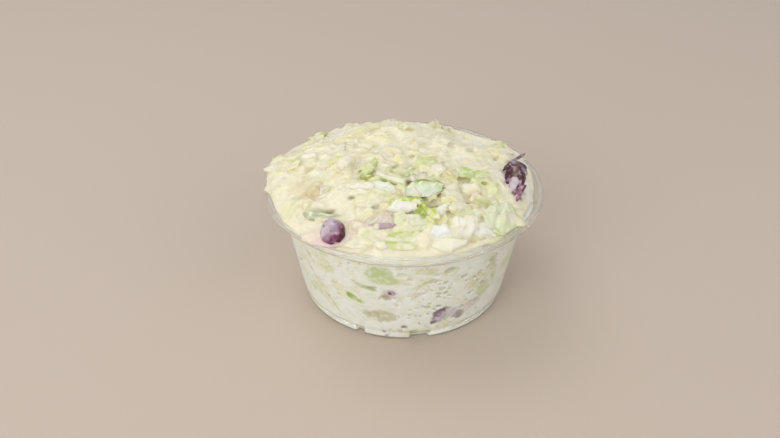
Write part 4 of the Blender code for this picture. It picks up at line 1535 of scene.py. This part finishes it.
def placeByHand(name, pieces, surface, settings, material):
    allPoints, allFaces, colours = [], [], []
    start = 0
    for where, turn, shape, tint, edge, side, seed in pieces.values():
        made = leafShell(shape[:6], settings["cells"], seed, placedSkew, placedCrinkle, shape[6])
        points, faces, along, across = made
        hit = surface.ray_cast(Vector((where[0], where[1], 80)), Vector((0, 0, -1)))
        ground = hit[0].z if hit[0] else lipHeight
        turning = Matrix.Identity(3)
        for degrees, axis in zip(reversed(turn), "ZYX"):
            turning = turning @ Matrix.Rotation(math.radians(degrees), 3, axis)
        points = points @ np.array(turning).T + np.array([where[0], where[1], ground + where[2]])
        outward = across * side if side else np.abs(across)  # a side of 0 is both long edges
        share = smoothStep(0.3, 0.9, np.maximum(outward, 0.6 * np.abs(along)))[:, None]
        tone = blended(toneOf(tint), edge, share)
        mottle = waves(*points.T, settings["mottleSize"], seed, 2)[:, None]
        tone = blended(tone, settings["filmTint"], smoothStep(0.1, 0.35, mottle) * settings["film"])
        tone = blended(tone, edge, smoothStep(0.15, 0.4, -mottle) * settings["stain"])
        allPoints.append(points)
        allFaces += [tuple(start + i for i in face) for face in faces]
        colours.append(tone)
        start += len(points)
    piece = newPiece(name, np.vstack(allPoints), allFaces, material)
    paint(piece, "leafColour", np.vstack(colours))
    return piece


def ownPiece(piece, slot, *nodes):
    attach(piece, "root")
    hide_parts(*nodes)


print("cup")
ownPiece(makePortionCup(), "clear_plastic", "cup")
print("slaw against the wall")
ownPiece(makeWallSlaw(), "dressed_cabbage", "slaw")
print("heap")
heapCore = makeHeapCore()
coreX, coreY, coreZ = pointsOf(heapCore).T / mm
onTop = coreZ > lipHeight - heap["coreTop"]
paint(heapCore, "crowd", crowding(coreX, coreY) * onTop)
scatterNodes = scatterTree()
coreSurface = BVHTree.FromPolygons(
    [v.co / mm for v in heapCore.data.vertices], [tuple(p.vertices) for p in heapCore.data.polygons]
)
paleMaterial = cutCabbage("paleCutCabbage", "#f8f1d8", 0.6, 0.38)
greenMaterial = cutCabbage("greenCutCabbage", "#f6f0d6", 0.3, 0.34)
redMaterial = cutCabbage("redCutCabbage", "#d9c6cd", 0.15, 0.3)
coated = makeScattered("coatedCabbage", dressedHeap, 100, heapCore, scatterNodes, paleMaterial)
heapCore.data.attributes.remove(heapCore.data.attributes["crowd"])
paint(heapCore, "crowd", looseCrowding(coreX, coreY) * onTop)
pale = makeScattered("paleCabbage", looseLeaf, looseLeaf["seed"], heapCore, scatterNodes, paleMaterial)
green = makeScattered("greenCabbage", greenLeaf, greenLeaf["seed"], heapCore, scatterNodes, greenMaterial)
large = placeByHand("bigLeaves", bigLeaves, coreSurface, leafFinish, greenMaterial)
red = placeByHand("redCabbage", redPieces, coreSurface, redFinish, redMaterial)
lump = makeRedLump(coreSurface, redMaterial)
print("dressing")
dressed = makeDressedHeap(heapCore, [coated, pale, green, large, red, lump])
bpy.data.objects.remove(coated)
# how far the dressing covers each, in mm, how much that varies, and the seed
for piece, depth, wander, seed in (
    (pale, 0.08, 0.10, 71),
    (green, 0.03, 0.10, 72),
    (large, 0.0, 0.08, 73),
    (red, -0.05, 0.04, 74),
    (lump, -0.08, 0.02, 75),
):
    drawnIn(piece, depth, wander, seed)
for piece in (dressed, pale, green, large, red, lump):
    ownPiece(piece, "dressed_cabbage", "slaw")
bpy.data.objects.remove(heapCore)


view = {
    "floor": "#cebeaf",
    "floorSize": 3000,
    "eye": (4.5, -176.4, 132.4),
    "down": 32.72,
    "aside": -2.68,
    "lens": 34.9,
    "sky": "#ffffff",
    "skyStrength": 0.61,
    # soft lamps: place, size and power
    "lamps": [
        ((-260, 200, 620), 420, 0.75),
        ((-380, -560, 360), 520, 1.8),
        ((420, -300, 300), 420, 0.4),
    ],
}


def makeFloor():
    half = view["floorSize"] / 2
    points = [(-half, -half, 0), (half, -half, 0), (half, half, 0), (-half, half, 0)]
    settings = {"Base Color": linearColour(view["floor"]), "Roughness": 0.6}
    material = newMaterial("plainPaleFloor", settings)[0]
    return newPiece("floor", points, [(0, 1, 2, 3)], material, False)


def makeLight():
    world = bpy.data.worlds.new("softSky")
    bpy.context.scene.world = world
    world.use_nodes = True
    background = world.node_tree.nodes["Background"]
    background.inputs["Color"].default_value = linearColour(view["sky"])
    background.inputs["Strength"].default_value = view["skyStrength"]
    for place, size, power in view["lamps"]:
        lamp = bpy.data.lights.new("softLamp", "AREA")
        lamp.shape = "DISK"
        lamp.size = size * mm
        lamp.energy = power
        holder = addObject("softLamp", lamp)
        holder.location = Vector(place) * mm
        holder.rotation_euler = (-holder.location).to_track_quat("-Z", "Y").to_euler()


def makeCamera():
    lens = bpy.data.cameras.new("camera")
    lens.lens = view["lens"]
    lens.sensor_width = 36
    lens.clip_start = 0.005
    camera = addObject("camera", lens)
    camera.location = Vector(view["eye"]) * mm
    camera.rotation_euler = (math.radians(90 - view["down"]), 0, -math.radians(view["aside"]))
    bpy.context.scene.camera = camera


print("floor, light, camera")
makeFloor()
makeLight()
makeCamera()
bpy.context.scene.view_settings.view_transform = "Standard"
